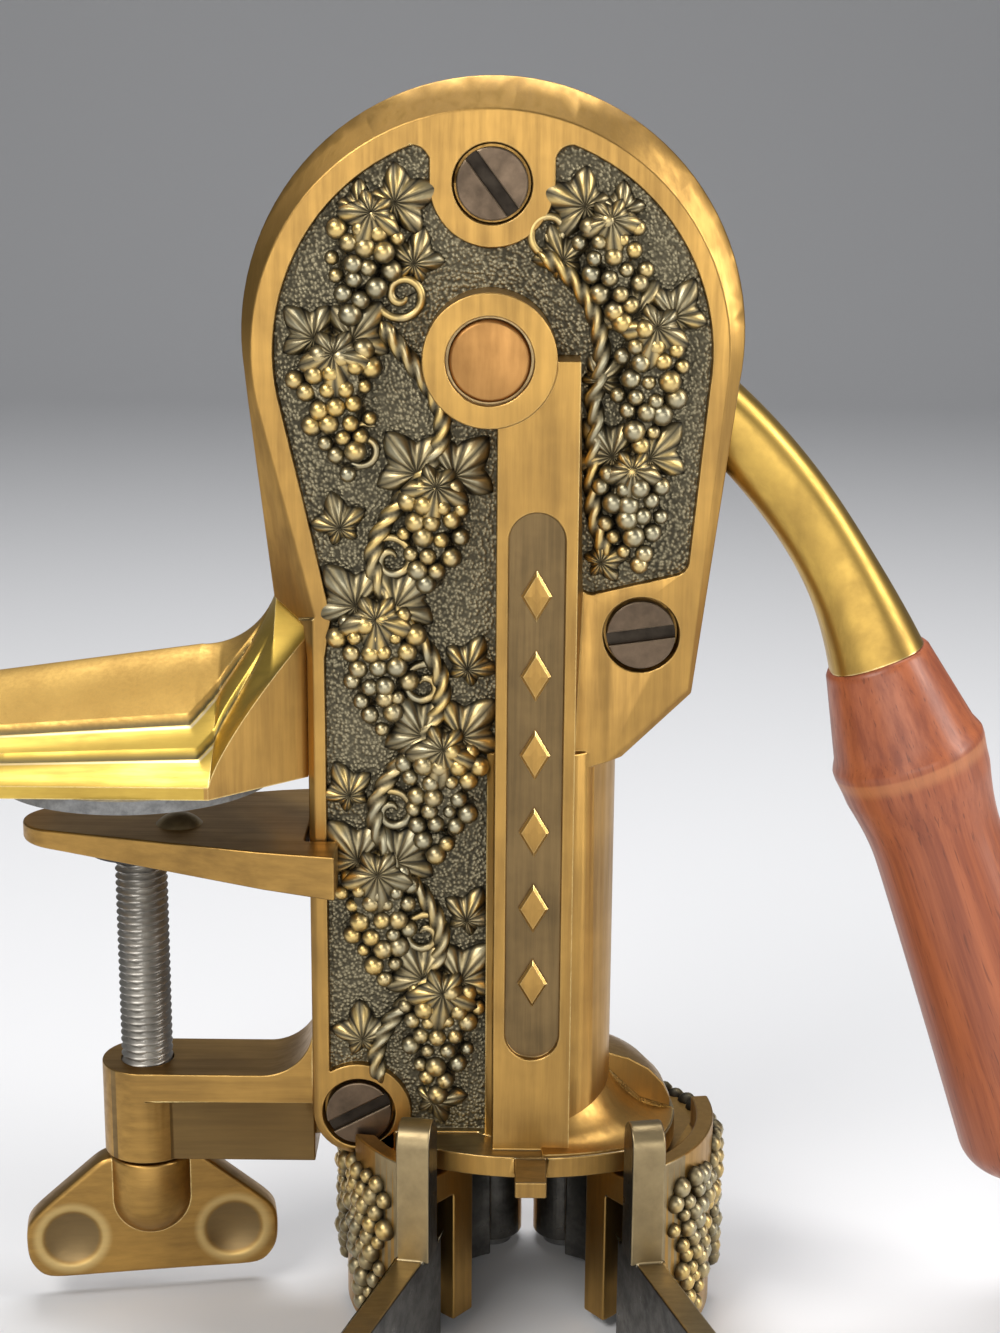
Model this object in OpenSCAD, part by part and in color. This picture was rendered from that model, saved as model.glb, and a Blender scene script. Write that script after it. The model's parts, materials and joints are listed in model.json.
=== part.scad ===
// Table-mounted wine opener with a swinging lever, a worm on a carriage and two hand-squeezed jaws.
// Millimetres, +Z up. The origin is on the clamp screw's axis, in the plane where the table's top seats.
// The decorated front faces -Y, the lever swings at +X and the table is at -X.

/* [Head and body] */
// Lever axis to the right of the clamp screw's axis
pivot_x = 79.5; // [78:0.5:84]
// Lever axis above the table seat
pivot_z = 96.5; // [95:0.5:100]
// Outer radius of the round head
head_r = 53.2; // [52.5:0.1:56]
// Centre of the head above the lever axis
head_rise = 4; // [3:0.5:5]
// Thickness over both rims
body_d = 28; // [27:0.5:32]
// Wall of the castings
wall = 4.5; // [4:0.1:4.8]
// Width of the flat rim
rim_w = 3.4; // [2.5:0.1:4]
// Depth of the sunk field
field_d = 2; // [1:0.1:2.5]
// Radius of the front rim, around the lever axis
rim_r = 50.5; // [50:0.1:52]
// Slope of the bevel between the rim and the outline
bevel_s = 0.9; // [0.7:0.05:1]
// Bevel at the lower straight edges
side_bevel = 1.5; // [0.8:0.1:2]
// Straight left edge, left of the lever axis
left_x = 39.6; // [39.4:0.1:42]

/* [Column and flange] */
// Column axis, right of the lever axis
worm_dx = 10.3; // [10:0.1:11]
// Outer radius of the column
tube_r = 18.4; // [18:0.1:20]
// Bore of the column
bore_r = 13; // [12.5:0.1:13.5]
// Width of the raised strip
strip_w = 17.3; // [15:0.1:19]
// Height of the strip over the rim
strip_proud = 8.5; // [7:0.1:10]
// Width of the sunk panel in the strip
panel_w = 12.1; // [8:0.1:13]
// Depth of the sunk panel
panel_d = 1.4; // [0.6:0.1:2]
// Underside of the flange below the lever axis
flange_drop = 183; // [182:0.5:190]
// Thickness of the flange
flange_t = 5; // [5:0.1:7]
// Radius of the flange
flange_r = 34; // [33:0.1:34]
// Height of the flange's rear shoulder
shoulder_h = 14; // [8:0.5:18]
// Radius of the bottle's seat
neck_r = 15.6; // [15:0.1:16]
// Depth of the bottle's seat
neck_h = 4.2; // [3.6:0.1:4.4]

/* [Lever] */
// Radius of the lever shaft
shaft_r = 8.6; // [7.5:0.1:9]
// Outer radius of the ring boss
ring_r = 14.1; // [13.6:0.1:15]
// Height of the ring boss over the strip
ring_proud = 2; // [1:0.1:3]
// Radius of the lever's hub
hub_r = 13.3; // [12.5:0.1:13.6]
// Half width of the arm
arm_r = 7.7; // [7:0.1:8]
// Thickness of the arm
arm_t = 13; // [11:0.1:13.4]
// Radius of the arm's bend
bend_r = 136.5; // [130:0.5:145]
// Radius of the flared end at the grip
flare_r = 10.5; // [9.5:0.1:11]
// Length of the grip
grip_l = 133; // [115:1:140]
// Largest radius of the grip
grip_r = 17.5; // [16:0.1:19]
// Swing of the lever, degrees
swing = 83; // [70:1:84]

/* [Drive] */
// Radius of the rocker, from the lever axis to the drive pin
rocker_r = 34; // [31:0.1:34.2]
// Radius of the drive pin
drive_r = 6; // [5:0.1:6.2]
// Room above and below the drive pin in the yokes
drive_gap = 1.1; // [1:0.05:1.3]
// Thickness of a yoke
yoke_t = 3; // [2.4:0.1:3]
// Radius of the worm's shank
shank_r = 4; // [3.5:0.1:4.5]
// Radius of the worm's coil, to the wire's centre
coil_r = 3.3; // [3:0.1:3.6]
// Radius of the worm's wire
wire_r = 1.5; // [1.2:0.1:1.7]
// Lead of the worm
lead = 10; // [10:0.5:10]

/* [Table clamp] */
// Half width of the table arm
arm_half = 30; // [26:0.5:34]
// Reach of the table arm beyond the screw's axis
arm_reach = 38; // [30:1:48]
// Height of the table arm's crown over the seat
arm_crown = 30.5; // [28:0.5:31]
// Radius of the seat pad
pad_r = 31.5; // [28:0.5:33]
// Thickness of the seat pad
pad_t = 3; // [2:0.1:4]
// Gap between the seat and the pressure plate
clamp_gap = 11; // [9:0.5:14]
// Half width of the pressure plate at its fork
plate_half = 26; // [22:0.5:28]
// Radius of the clamp screw
screw_r = 6; // [5:0.1:6.2]
// Pitch of the clamp screw
pitch = 1.75; // [1.5:0.05:2]
// Top of the lower bracket, below the seat
bracket_top = 69.5; // [68:0.5:71]
// Bottom of the bracket's boss, below the seat
bracket_low = 92; // [90.5:0.5:94]
// Radius of the bracket's boss
boss_r = 10.5; // [9.5:0.1:12]
// Half span of the wing knob
wing_half = 29.6; // [24:0.2:34]
// Thickness of the wing
wing_t = 7; // [5:0.1:9]
// Radius of the wing's hub
wing_hub_r = 9.7; // [9:0.1:11]

/* [Jaws] */
// Opening angle of each jaw at rest, degrees
jaw_open = 9; // [7:0.5:9]
// Radius of the closed jaws' grip
jaw_r = 14.5; // [13.5:0.1:15.5]
// Thickness of the jaw's outer shell
shell_t = 4; // [3:0.1:5]
// Height of a jaw below the flange
jaw_h = 39; // [32:0.5:44]
// Width of an ear
ear_w = 7.5; // [6:0.1:9]
// Height of an ear over the flange
ear_rise = 11; // [8:0.5:14]
// Length of a squeeze handle
handle_l = 62; // [45:1:75]
// Thickness of a squeeze handle
handle_t = 6; // [4.5:0.1:7]
// Radius of the jaws' hinge pins
jaw_pin_r = 3; // [2.5:0.1:3.5]

/* [Relief] */
// Height of a bunch of grapes over the field
bunch_h = 4.2; // [3:0.1:4.6]
// Width of a bunch
bunch_w = 17; // [14:0.5:17.5]
// Length of a bunch
bunch_l = 27; // [22:0.5:28]
// Height of a leaf over the field
leaf_h = 2.4; // [2.2:0.1:3]
// Radius of a leaf
leaf_r = 5; // [4:0.1:5.5]

/* [Fits] */
// Radial running clearance of shafts and pins
run = 0.05; // [0.03:0.01:0.08]
// Side clearance of sliding pieces
slide = 0.4; // [0.3:0.05:0.5]

/* [Hidden] */
$fn = 72;
rim_y = body_d / 2;
field_y = rim_y - field_d;
cav_y = field_y - 3.4;
strip_y = rim_y + strip_proud;
ring_y = strip_y + ring_proud;
worm_x = pivot_x + worm_dx;
side_s = 0.88 * bevel_s;
flange_z = pivot_z - flange_drop;
flange_top = flange_z + flange_t;
head_c = [0.6, head_rise];
flank = [-left_x - 7.6, -54];
kink = [-left_x - 0.8, -59];
rim_kink = [side_bevel - left_x + 0.6, -57];
rim_corner = [43.4, -73];
corner = [44.4, -73.4];
heel = [worm_dx + tube_r + 0.8, -88];
top_screw = [0.2, 35.4];
side_screw = [33.1, -60.1];
low_screw = [11.6 - left_x - 1, 9.6 - flange_drop];
low_r = 10.6;
land_in = 53.6;
land_out = 39.8;
land_low = 120;
land_x = 70;
panel_top = 38;
panel_low = 150;
cav_low = 152;
tube_top = 86.6;
far = 350;
screws = [top_screw, side_screw, low_screw];
slots = [-53, 8, 28];
head_screw_r = 7.5;
head_screw_t = 4;
shank_screw_r = 3;
rest_a = 180 - swing / 2;
drive_p = [rocker_r * cos(rest_a), rocker_r * sin(rest_a)];
stroke = 2 * rocker_r * sin(swing / 2);
slot_y = arm_t / 2 + 0.7;
slot_a0 = -32;
slot_a1 = swing - 3;
exit_p = [53.6, -17.3];
exit_a = -44.1;
grip_a = -69.5;
bend_c = exit_p + bend_r * [sin(exit_a), -cos(exit_a)];
grip_p = bend_c + bend_r * [-sin(grip_a), cos(grip_a)];
bend_a0 = 90 + grip_a;
bend_a1 = 93.4 + exit_a;
bend_in = bend_c + bend_r * [cos(bend_a1), sin(bend_a1)];
root_half = 6;
post_r = 5.3;
yoke_y = cav_y - slide;
block_y = yoke_y - yoke_t;
rocker_y = block_y - 0.6;
foot_top = -42;
foot_low = -62;
block_top = pivot_z + foot_top;
block_low = pivot_z + foot_low;
worm_tip = flange_z + neck_h + 0.6;
coil_l = 66;
coil_top = worm_tip + coil_l;
nut_low = flange_z + 6.5;
nut_top = nut_low + 14;
pin_z = worm_tip + 0.5 * lead;
plate_top = -clamp_gap;
cup_top = plate_top - 2.6;
cup_low = cup_top - 4.2;
cup_r = 12;
rivet_p = [9.5, -3];
left_edge = pivot_x - left_x;
tongue_y = 6;
jaw_z = flange_z - 1.6;
jaw_low = jaw_z - jaw_h;
jaw_pin = [9, 27];
shell_in = flange_r + 0.7;
shell_out = shell_in + shell_t;
ear_x = 12.4;
ear_front = -37.3;
ear_d = 9.8;
ear_low = flange_z - 16.5;
ear_top = flange_top + ear_rise;

// How far a straight side runs inside the round that it joins
tuck = 0.06;

// Top end of each bunch from the lever axis, its lean in degrees and its scale
bunches = [[-10, -145, -3, 1], [-24.5, -117, 4, 1], [-10, -88, -3, 1], [-24.5, -59, 4, 1],
  [-11.5, -30, -5, 0.9], [-33, -2, 7, 0.97], [-25, 27, -14, 0.85], [24.5, 26, 12, 0.82],
  [34.5, 4, -6, 0.92], [30, -26, 4, 0.8]];
// Middle of each leaf from the lever axis
leaves = [[-14.2, -140], [-5.8, -140.3], [-28.7, -112], [-20.3, -112.3], [-14.2, -83], [-5.8, -83.3],
  [-28.7, -54], [-20.3, -54.3], [-15.5, -25], [-7.5, -25.5], [-37, 3.5], [-29, 3.2], [-20, 31.5],
  [19.5, 31], [30.5, 9], [38.3, 8.5], [26, -21], [34, -21.3]];

function tangent_a(c, r, p, side) =
  atan2(p[1] - c[1], p[0] - c[0]) + side * acos((r - tuck) / norm(p - c));
function tangent(c, r, p, side) =
  let (a = tangent_a(c, r, p, side)) c + (r - tuck) * [cos(a), sin(a)];

// A drawing in the X-Z plane, carried from y0 to y1
module slab(y0, y1) {
  translate([0, y1, 0]) rotate([90, 0, 0]) linear_extrude(y1 - y0) children();
}

// A round bar along Y
module rod(r, y0, y1) {
  translate([0, y0, 0]) rotate([-90, 0, 0]) cylinder(r = r, h = y1 - y0);
}

module at_pivot() {
  translate([pivot_x, 0, pivot_z]) children();
}

module at(p) {
  translate([pivot_x + p[0], 0, pivot_z + p[1]]) children();
}

// Outline of the body seen from the front, drawn from the lever axis
module outline(inset) {
  r = head_r - inset;
  k = flank + [inset, 0];
  c = corner + [-inset, inset * 0.3];
  translate(head_c) circle(r);
  polygon([tangent(head_c, r, k, -1), k, kink + [inset, 0], [-left_x + inset, -66],
    [-left_x + inset, low_screw[1]], [low_screw[0], low_screw[1] - low_r + inset],
    [worm_dx, -flange_drop + inset], [worm_dx, heel[1] - 6],
    heel + [-inset, inset], c, tangent(head_c, r, c, 1), head_c]);
  translate(low_screw) circle(low_r - inset);
}

// Wedge that bevels an edge from p to q, lengthened at both ends, with the outside on its left
module edge_bevel(p, q, w, slope, more) {
  a = atan2(q[1] - p[1], q[0] - p[0]);
  translate([p[0], 0, p[1]]) rotate([0, -a, 0]) translate([-more[0], 0, 0]) rotate([90, 0, 90])
    linear_extrude(norm(q - p) + more[0] + more[1])
      polygon([[-rim_y - 3, -w - 3 / slope], [-rim_y + 14 * slope, 14 - w], [-rim_y - 3, 14 - w]]);
}

// Cone that bevels a round edge from the angle a0 on
module round_bevel(r, slope, a0, turn) {
  rotate([0, -a0, 0]) rotate([90, 0, 0]) rotate_extrude(angle = turn)
    polygon([[r - 3 / slope, rim_y + 3], [r + 14, rim_y - 14 * slope], [r + 14, rim_y + 3]]);
}

// Front plate of a half casting, with the head's round edge bevelled
module round_plate() {
  a0 = tangent_a([0, 0], rim_r, rim_corner, 1);
  a1 = tangent_a([0, 0], rim_r, rim_kink, -1) + 360;
  difference() {
    slab(-rim_y, 0) outline(0);
    round_bevel(rim_r, bevel_s, a0, (a1 - a0) % 360);
  }
}

// The same plate with its left edges bevelled
module left_plate() {
  difference() {
    difference() {
      round_plate();
      edge_bevel(rim_kink, tangent([0, 0], rim_r, rim_kink, -1), 0, bevel_s, [0, 6]);
    }
    edge_bevel([-left_x, low_screw[1]], [-left_x, rim_kink[1]], side_bevel, side_s, [4, 1.2]);
  }
}

// The same plate with all its edges bevelled
module plate_half_body() {
  at_pivot() difference() {
    difference() {
      difference() {
        left_plate();
        edge_bevel(tangent([0, 0], rim_r, rim_corner, 1), rim_corner, 0, bevel_s, [6, 6]);
      }
      edge_bevel(corner, heel, side_bevel, side_s, [6, 4]);
    }
    translate([low_screw[0], 0, low_screw[1]]) round_bevel(low_r - side_bevel + tuck, side_s, 180, 90);
  }
}

// Sunk field around the bosses and the strip
module field() {
  f = [0.5, 0];
  r = rim_r - rim_w - 0.8;
  k = rim_kink + [rim_w, 0];
  c = [corner[0] - rim_w - 0.6, -73];
  difference() {
    union() {
      translate(f) circle(r);
      polygon([tangent(f, r, k, -1), k, [-left_x + rim_w + 0.6, -66],
        [-left_x + rim_w + 0.6, flange_t - flange_drop + 0.2], [worm_dx, flange_t - flange_drop + 0.2],
        [worm_dx, -73], c, tangent(f, r, c, 1), f]);
    }
    translate(top_screw) circle(13.1);
    translate(top_screw + [-13.1, 0]) square([26.2, 30]);
    translate(low_screw) circle(12);
    translate(low_screw + [-20, -20]) square([20, 20]);
    translate([worm_dx - strip_w / 2, -flange_drop]) square([strip_w, flange_drop]);
    polygon([[worm_dx + 2, -land_in], [land_x, -land_out], [land_x, -land_low], [worm_dx + 2, -land_low]]);
    circle(ring_r);
  }
}

// Hollow for the rocker, the yokes and the carriage
module cavity() {
  x0 = -left_x + wall;
  difference() {
    union() {
      translate(head_c) circle(head_r - wall);
      polygon([tangent(head_c, head_r - wall, [x0 - 1, -57], -1), [x0 - 1, -57], [x0, -66],
        [x0, -cav_low], [worm_dx, -cav_low], [worm_dx, foot_low - stroke - 3],
        [worm_dx + 11.4, foot_low - stroke - 3], [worm_dx + 11.4, -40], head_c]);
    }
    translate(top_screw) circle(post_r);
  }
}

// Plan of the flange around the column axis
module flange_plan() {
  intersection() {
    circle(flange_r);
    translate([0, 31.5]) circle(58);
  }
}

// Rounded shoulder between the flange and the column
module shoulder() {
  r = flange_r - 1;
  w = r - tube_r + 0.5;
  rotate_extrude() polygon([[0, -1], [r, -1], [r, 0.18 * shoulder_h], [r - 0.11 * w, 0.45 * shoulder_h],
    [r - 0.34 * w, 0.71 * shoulder_h], [r - 0.66 * w, 0.9 * shoulder_h],
    [r - w, shoulder_h], [0, shoulder_h]]);
}

// One half of the body. The front one carries the strip's panel, the stop tab and the screw heads.
module half_body(front) {
  difference() {
    union() {
      plate_half_body();
      at_pivot() rod(ring_r, -ring_y, 0);
      at_pivot() slab(-strip_y, 0)
        translate([worm_dx - strip_w / 2, -flange_drop]) square([strip_w, flange_drop]);
      translate([worm_x, 0, flange_z]) cylinder(r = tube_r, h = flange_drop - tube_top);
      translate([worm_x, 0, flange_z]) linear_extrude(flange_t) flange_plan();
      if (front)
        translate([worm_x - 3.5, -38, flange_top - 4]) cube([7, 20, 3.8]);
      if (!front)
        translate([worm_x, 0, flange_top]) shoulder();
    }
    translate([-far, 0, -far]) cube([2 * far, far, 2 * far]);
    at_pivot() slab(-rim_y - 1, -field_y) field();
    at_pivot() slab(-cav_y, 1) cavity();
    at_pivot() rotate([0, -slot_a0, 0]) rotate([90, 0, 0]) rotate_extrude(angle = slot_a1 - slot_a0)
      translate([44, -slot_y]) square([30, 2 * slot_y]);
    at_pivot() rod(shaft_r + 0.6, -ring_y - 1, 1);
    at_pivot() rod(shaft_r + 2.4, -ring_y + 3, 1);
    for (p = screws) {
      at(p) rod(shank_screw_r, front ? -rim_y - 1 : -field_y + 0.5, 1);
      if (front)
        at(p) rod(head_screw_r + 0.8, -rim_y - 1, -rim_y + head_screw_t - 0.2);
    }
    if (front)
      at_pivot() slab(-strip_y - 1, -strip_y + panel_d) {
        translate([worm_dx - panel_w / 2, -panel_low]) square([panel_w, panel_low - panel_top]);
        translate([worm_dx, -panel_low]) circle(panel_w / 2);
        translate([worm_dx, -panel_top]) circle(panel_w / 2);
      }
    translate([worm_x, 0, nut_low]) cylinder(r = bore_r, h = pivot_z + foot_low - stroke - nut_low);
    translate([worm_x, 0, flange_z - 1]) cylinder(r = 11.5, h = 20);
    translate([worm_x, 0, flange_z - 1]) cylinder(r = neck_r + 2.6, h = neck_h + 1);
    for (s = [-1, 1])
      translate([worm_x + s * jaw_pin[0], jaw_pin[1] * (front ? 1 : -1), flange_z - 1])
        cylinder(r = jaw_pin_r, h = flange_t + 4);
    translate([left_edge - 5, -tongue_y, 10]) cube([wall + 5.1, 20, 24]);
    translate([left_edge - 5, -tongue_y, -86]) cube([26, 20, 20]);
  }
}

// Tapered round that stands on the front field
module relief_round(r, taper, h, root) {
  translate([0, root - field_y, 0]) rotate([90, 0, 0]) cylinder(r1 = r, r2 = r - taper, h = h + root);
}

// Vine on the front field: bunches of three rounds, each smaller than the one above, and leaves
module relief() {
  for (b = bunches)
    at(b) rotate([0, -b[2], 0])
      for (k = [0:2])
        translate([0, 0, -bunch_l * b[3] * (0.14 + 0.29 * k)])
          relief_round(bunch_w * b[3] * (0.45 - 0.095 * k), 0.14 * bunch_w, bunch_h - 0.35 * k,
            0.6 + 0.07 * k);
  for (p = leaves)
    at(p) relief_round(leaf_r, 0.5 * leaf_r, leaf_h, 0.45);
}

module front_cover() {
  color([0.62, 0.47, 0.2]) {
    half_body(true);
    relief();
  }
}

module rear_housing() {
  color([0.58, 0.44, 0.19]) mirror([0, 1, 0]) half_body(false);
}

// Slotted screws that hold the two halves together
module cover_screws() {
  color([0.24, 0.19, 0.15])
    for (i = [0:2])
      at(screws[i]) difference() {
        union() {
          rod(head_screw_r, -rim_y - 0.2, -rim_y + head_screw_t - 0.2);
          rod(shank_screw_r, -rim_y + 1, field_y - 0.5);
        }
        rotate([0, -slots[i], 0]) translate([-10, -rim_y - 1, -0.8]) cube([20, 2.2, 1.6]);
      }
}

// Bearing sleeve in the ring boss
module bush() {
  difference() {
    rod(shaft_r + 2.4, -ring_y + 3, -cav_y);
    rod(shaft_r + run, -ring_y, 0);
  }
}

module front_bush() {
  color([0.5, 0.4, 0.2]) at_pivot() bush();
}

module rear_bush() {
  color([0.5, 0.4, 0.2]) at_pivot() mirror([0, 1, 0]) bush();
}

module lever_shaft() {
  color([0.62, 0.42, 0.22]) at_pivot() difference() {
    union() {
      rod(shaft_r, -ring_y + 1, ring_y - 1);
      translate([0, -ring_y + 1, 0]) rotate([90, 0, 0]) cylinder(r1 = shaft_r, r2 = shaft_r - 0.7, h = 0.7);
      translate([0, ring_y - 1, 0]) rotate([-90, 0, 0]) cylinder(r1 = shaft_r, r2 = shaft_r - 0.7, h = 0.7);
    }
    translate([0, 0, -20]) cylinder(r = 2, h = 40);
  }
}

module hub_pin() {
  color([0.6, 0.6, 0.6]) at_pivot() translate([0, 0, -hub_r + 0.8]) cylinder(r = 2, h = 2 * hub_r - 1.6);
}

// Hub, rocker and curved arm in one casting
module lever_arm() {
  t = atan2(bend_in[1], bend_in[0]);
  l = norm(bend_in);
  color([0.6, 0.45, 0.16]) at_pivot() difference() {
    union() {
      rod(hub_r, -cav_y + 0.3, cav_y - 0.3);
      rotate([0, -rest_a, 0]) slab(-rocker_y, rocker_y) {
        polygon([[0, -hub_r + 1], [rocker_r, -drive_r - 3], [rocker_r, drive_r + 3], [0, hub_r - 1]]);
        translate([rocker_r, 0]) circle(drive_r + 3);
      }
      rotate([0, -t, 0]) slab(0.3 - arm_t / 2, arm_t / 2 - 0.3)
        polygon([[0, -root_half - 2], [20, -root_half], [l, 0.7 - arm_r], [l, arm_r - 0.7], [20, root_half],
          [0, root_half + 2]]);
      translate([bend_in[0], 0, bend_in[1]]) rod(arm_r + 0.4, 0.15 - arm_t / 2, arm_t / 2 - 0.15);
      translate([bend_c[0], 0, bend_c[1]]) rotate([0, -bend_a0, 0]) rotate([90, 0, 0])
        rotate_extrude(angle = bend_a1 - bend_a0) translate([bend_r, 0]) intersection() {
          circle(arm_r);
          square([2 * arm_r, arm_t], center = true);
        }
      translate([grip_p[0], 0, grip_p[1]]) rotate([0, 90 - grip_a, 0]) translate([0, 0, -22])
        cylinder(r1 = arm_r - 0.6, r2 = flare_r, h = 22);
    }
    rod(shaft_r, -40, 40);
    translate([0, 0, -hub_r + 0.8]) cylinder(r = 2, h = 2 * hub_r - 1.6);
    translate([drive_p[0], 0, drive_p[1]]) rod(drive_r, -20, 20);
    translate([grip_p[0], 0, grip_p[1]]) rotate([0, 90 - grip_a, 0]) translate([0, 0, -15])
      cylinder(r = 4, h = 20);
  }
}

module drive_pin() {
  color([0.6, 0.6, 0.6]) at_pivot() translate([drive_p[0], 0, drive_p[1]]) rod(drive_r, -yoke_y, yoke_y);
}

// Steel tang from the arm into the grip
module grip_tang() {
  color([0.6, 0.6, 0.6]) at(grip_p) rotate([0, 90 - grip_a, 0]) translate([0, 0, -15])
    cylinder(r = 4, h = grip_l * 0.7 + 15);
}

// Turned wooden grip: collar, ridge, waist and swollen lower end
module grip() {
  n = 14;
  low = 31;
  end = grip_l - 13;
  swell = [for (i = [0:n]) let (u = i / n)
    [grip_r * (0.96 - 0.115 * sin(min(90, 540 * u)) + 0.16 * pow(max(0, u - 0.17) / 0.83, 1.2)),
      low + (end - low) * u]];
  last = swell[n];
  round_end = [for (i = [1:8]) [last[0] * cos(i * 11.25), last[1] + 13 * sin(i * 11.25)]];
  color([0.55, 0.25, 0.12]) at(grip_p) rotate([0, 90 - grip_a, 0]) difference() {
    rotate_extrude() polygon(concat([[0, 0], [flare_r + 0.6, 0], [flare_r + 1.5, 1.2], [grip_r - 1.4, 19.5],
      [grip_r, 23], [grip_r, 25]], swell, round_end));
    translate([0, 0, -1]) cylinder(r = 4, h = grip_l * 0.7 + 1);
  }
}

// Slotted plate that the drive pin lifts and lowers
module yoke() {
  slab(-yoke_y, -block_y) difference() {
    intersection() {
      union() {
        polygon([[-rocker_r - 3, drive_p[1] - 11], [-15, drive_p[1] - 11], [-15, drive_p[1] + 11],
          [-rocker_r - 3, drive_p[1] + 11]]);
        polygon([[-31, foot_low], [worm_dx + 9.5, foot_low], [worm_dx + 9.5, foot_top], [-15, foot_top],
          [-15, drive_p[1]], [-31, drive_p[1]]]);
      }
      union() {
        translate(head_c) circle(head_r - wall - 1.4);
        translate([-31, -80]) square([70, 80]);
      }
    }
    translate(drive_p) circle(drive_r + drive_gap);
    translate(drive_p + [-40, -drive_r - drive_gap]) square([40, 2 * (drive_r + drive_gap)]);
    translate([-23, foot_low + 10]) circle(2.5);
    translate([-8, foot_low + 10]) circle(2.5);
  }
}

module front_yoke() {
  color([0.6, 0.6, 0.62]) at_pivot() yoke();
}

module rear_yoke() {
  color([0.6, 0.6, 0.62]) at_pivot() mirror([0, 1, 0]) yoke();
}

module carriage_block() {
  color([0.5, 0.5, 0.52]) at_pivot() difference() {
    slab(-block_y, block_y) difference() {
      translate([-31, foot_low]) square([worm_dx + 40.5, foot_top - foot_low]);
      translate([-23, foot_low + 10]) circle(2.5);
      translate([-8, foot_low + 10]) circle(2.5);
    }
    translate([worm_dx, 0, foot_low - 1]) cylinder(r = shank_r + run, h = 40);
  }
}

module yoke_rivets() {
  color([0.6, 0.6, 0.6]) at_pivot()
    for (x = [-23, -8])
      translate([x, 0, foot_low + 10]) rod(2.5, -yoke_y, yoke_y);
}

module thrust_washer() {
  color([0.6, 0.5, 0.25]) translate([worm_x, 0, block_top]) difference() {
    cylinder(r = 7.5, h = 1.5);
    translate([0, 0, -1]) cylinder(r = shank_r + run, h = 4);
  }
}

module worm_nut() {
  color([0.6, 0.6, 0.6]) translate([worm_x, 0, block_top + 1.6]) difference() {
    cylinder(r = 7, h = 6);
    translate([0, 0, -1]) cylinder(r = shank_r, h = 8);
  }
}

// Steel worm: round shank with a collar, then the open coil with its tapered tip
module worm() {
  sides = 10;
  steps = 132;
  turns = (coil_top - worm_tip) / lead;
  slope = atan2(lead, 360 * coil_r * PI / 180);
  pts = [for (i = [0:steps]) let (a = 360 * turns * i / steps,
      z = worm_tip + lead * a / 360, w = wire_r * min(1, 0.15 + i / 14))
    for (j = [0:sides - 1]) let (b = 360 * j / sides, u = w * cos(b), v = w * sin(b))
      [(coil_r + u) * cos(a) + v * sin(slope) * sin(a), (coil_r + u) * sin(a) - v * sin(slope) * cos(a),
        z + v * cos(slope)]];
  skin = [for (i = [0:steps - 1]) for (j = [0:sides - 1]) let (k = (j + 1) % sides)
    [i * sides + k, (i + 1) * sides + k, (i + 1) * sides + j, i * sides + j]];
  color([0.7, 0.7, 0.72]) translate([worm_x, 0, 0]) {
    polyhedron(pts, concat([[for (j = [0:sides - 1]) sides - 1 - j]], skin,
      [[for (j = [0:sides - 1]) steps * sides + j]]));
    translate([0, 0, coil_top - 2]) cylinder(r = shank_r, h = block_top + 7.6 - coil_top + 2);
    translate([0, 0, coil_top - 2]) cylinder(r = coil_r + wire_r + 0.2, h = 6);
    translate([0, 0, block_low - 4.1]) cylinder(r = 6.5, h = 4);
  }
}

// Fixed nut at the lower end of the column
module guide_nut() {
  color([0.6, 0.5, 0.25]) translate([worm_x, 0, 0]) difference() {
    translate([0, 0, nut_low]) cylinder(r = bore_r, h = nut_top - nut_low);
    translate([0, 0, nut_low - 1]) cylinder(r = coil_r + wire_r + 1, h = 20);
    translate([0, 0, pin_z]) rotate([0, 90, 0]) cylinder(r = 1.4, h = bore_r - 1);
    translate([0, 0, pin_z + lead / 2]) rotate([0, -90, 0]) cylinder(r = 1.4, h = bore_r - 1);
  }
}

// Pins of the nut that sit between the worm's turns
module guide_pins() {
  color([0.6, 0.6, 0.6]) translate([worm_x, 0, 0]) {
    translate([0, 0, pin_z]) rotate([0, 90, 0]) translate([0, 0, 1.6]) cylinder(r = 1.4, h = bore_r - 2.6);
    translate([0, 0, pin_z + lead / 2]) rotate([0, -90, 0]) translate([0, 0, 1.6])
      cylinder(r = 1.4, h = bore_r - 2.6);
  }
}

// Ring where the bottle's mouth seats
module neck_ring() {
  color([0.3, 0.3, 0.3]) translate([worm_x, 0, flange_z]) difference() {
    cylinder(r = neck_r + 2.6, h = neck_h);
    translate([0, 0, -1]) cylinder(r = neck_r, h = 10);
  }
}

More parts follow.
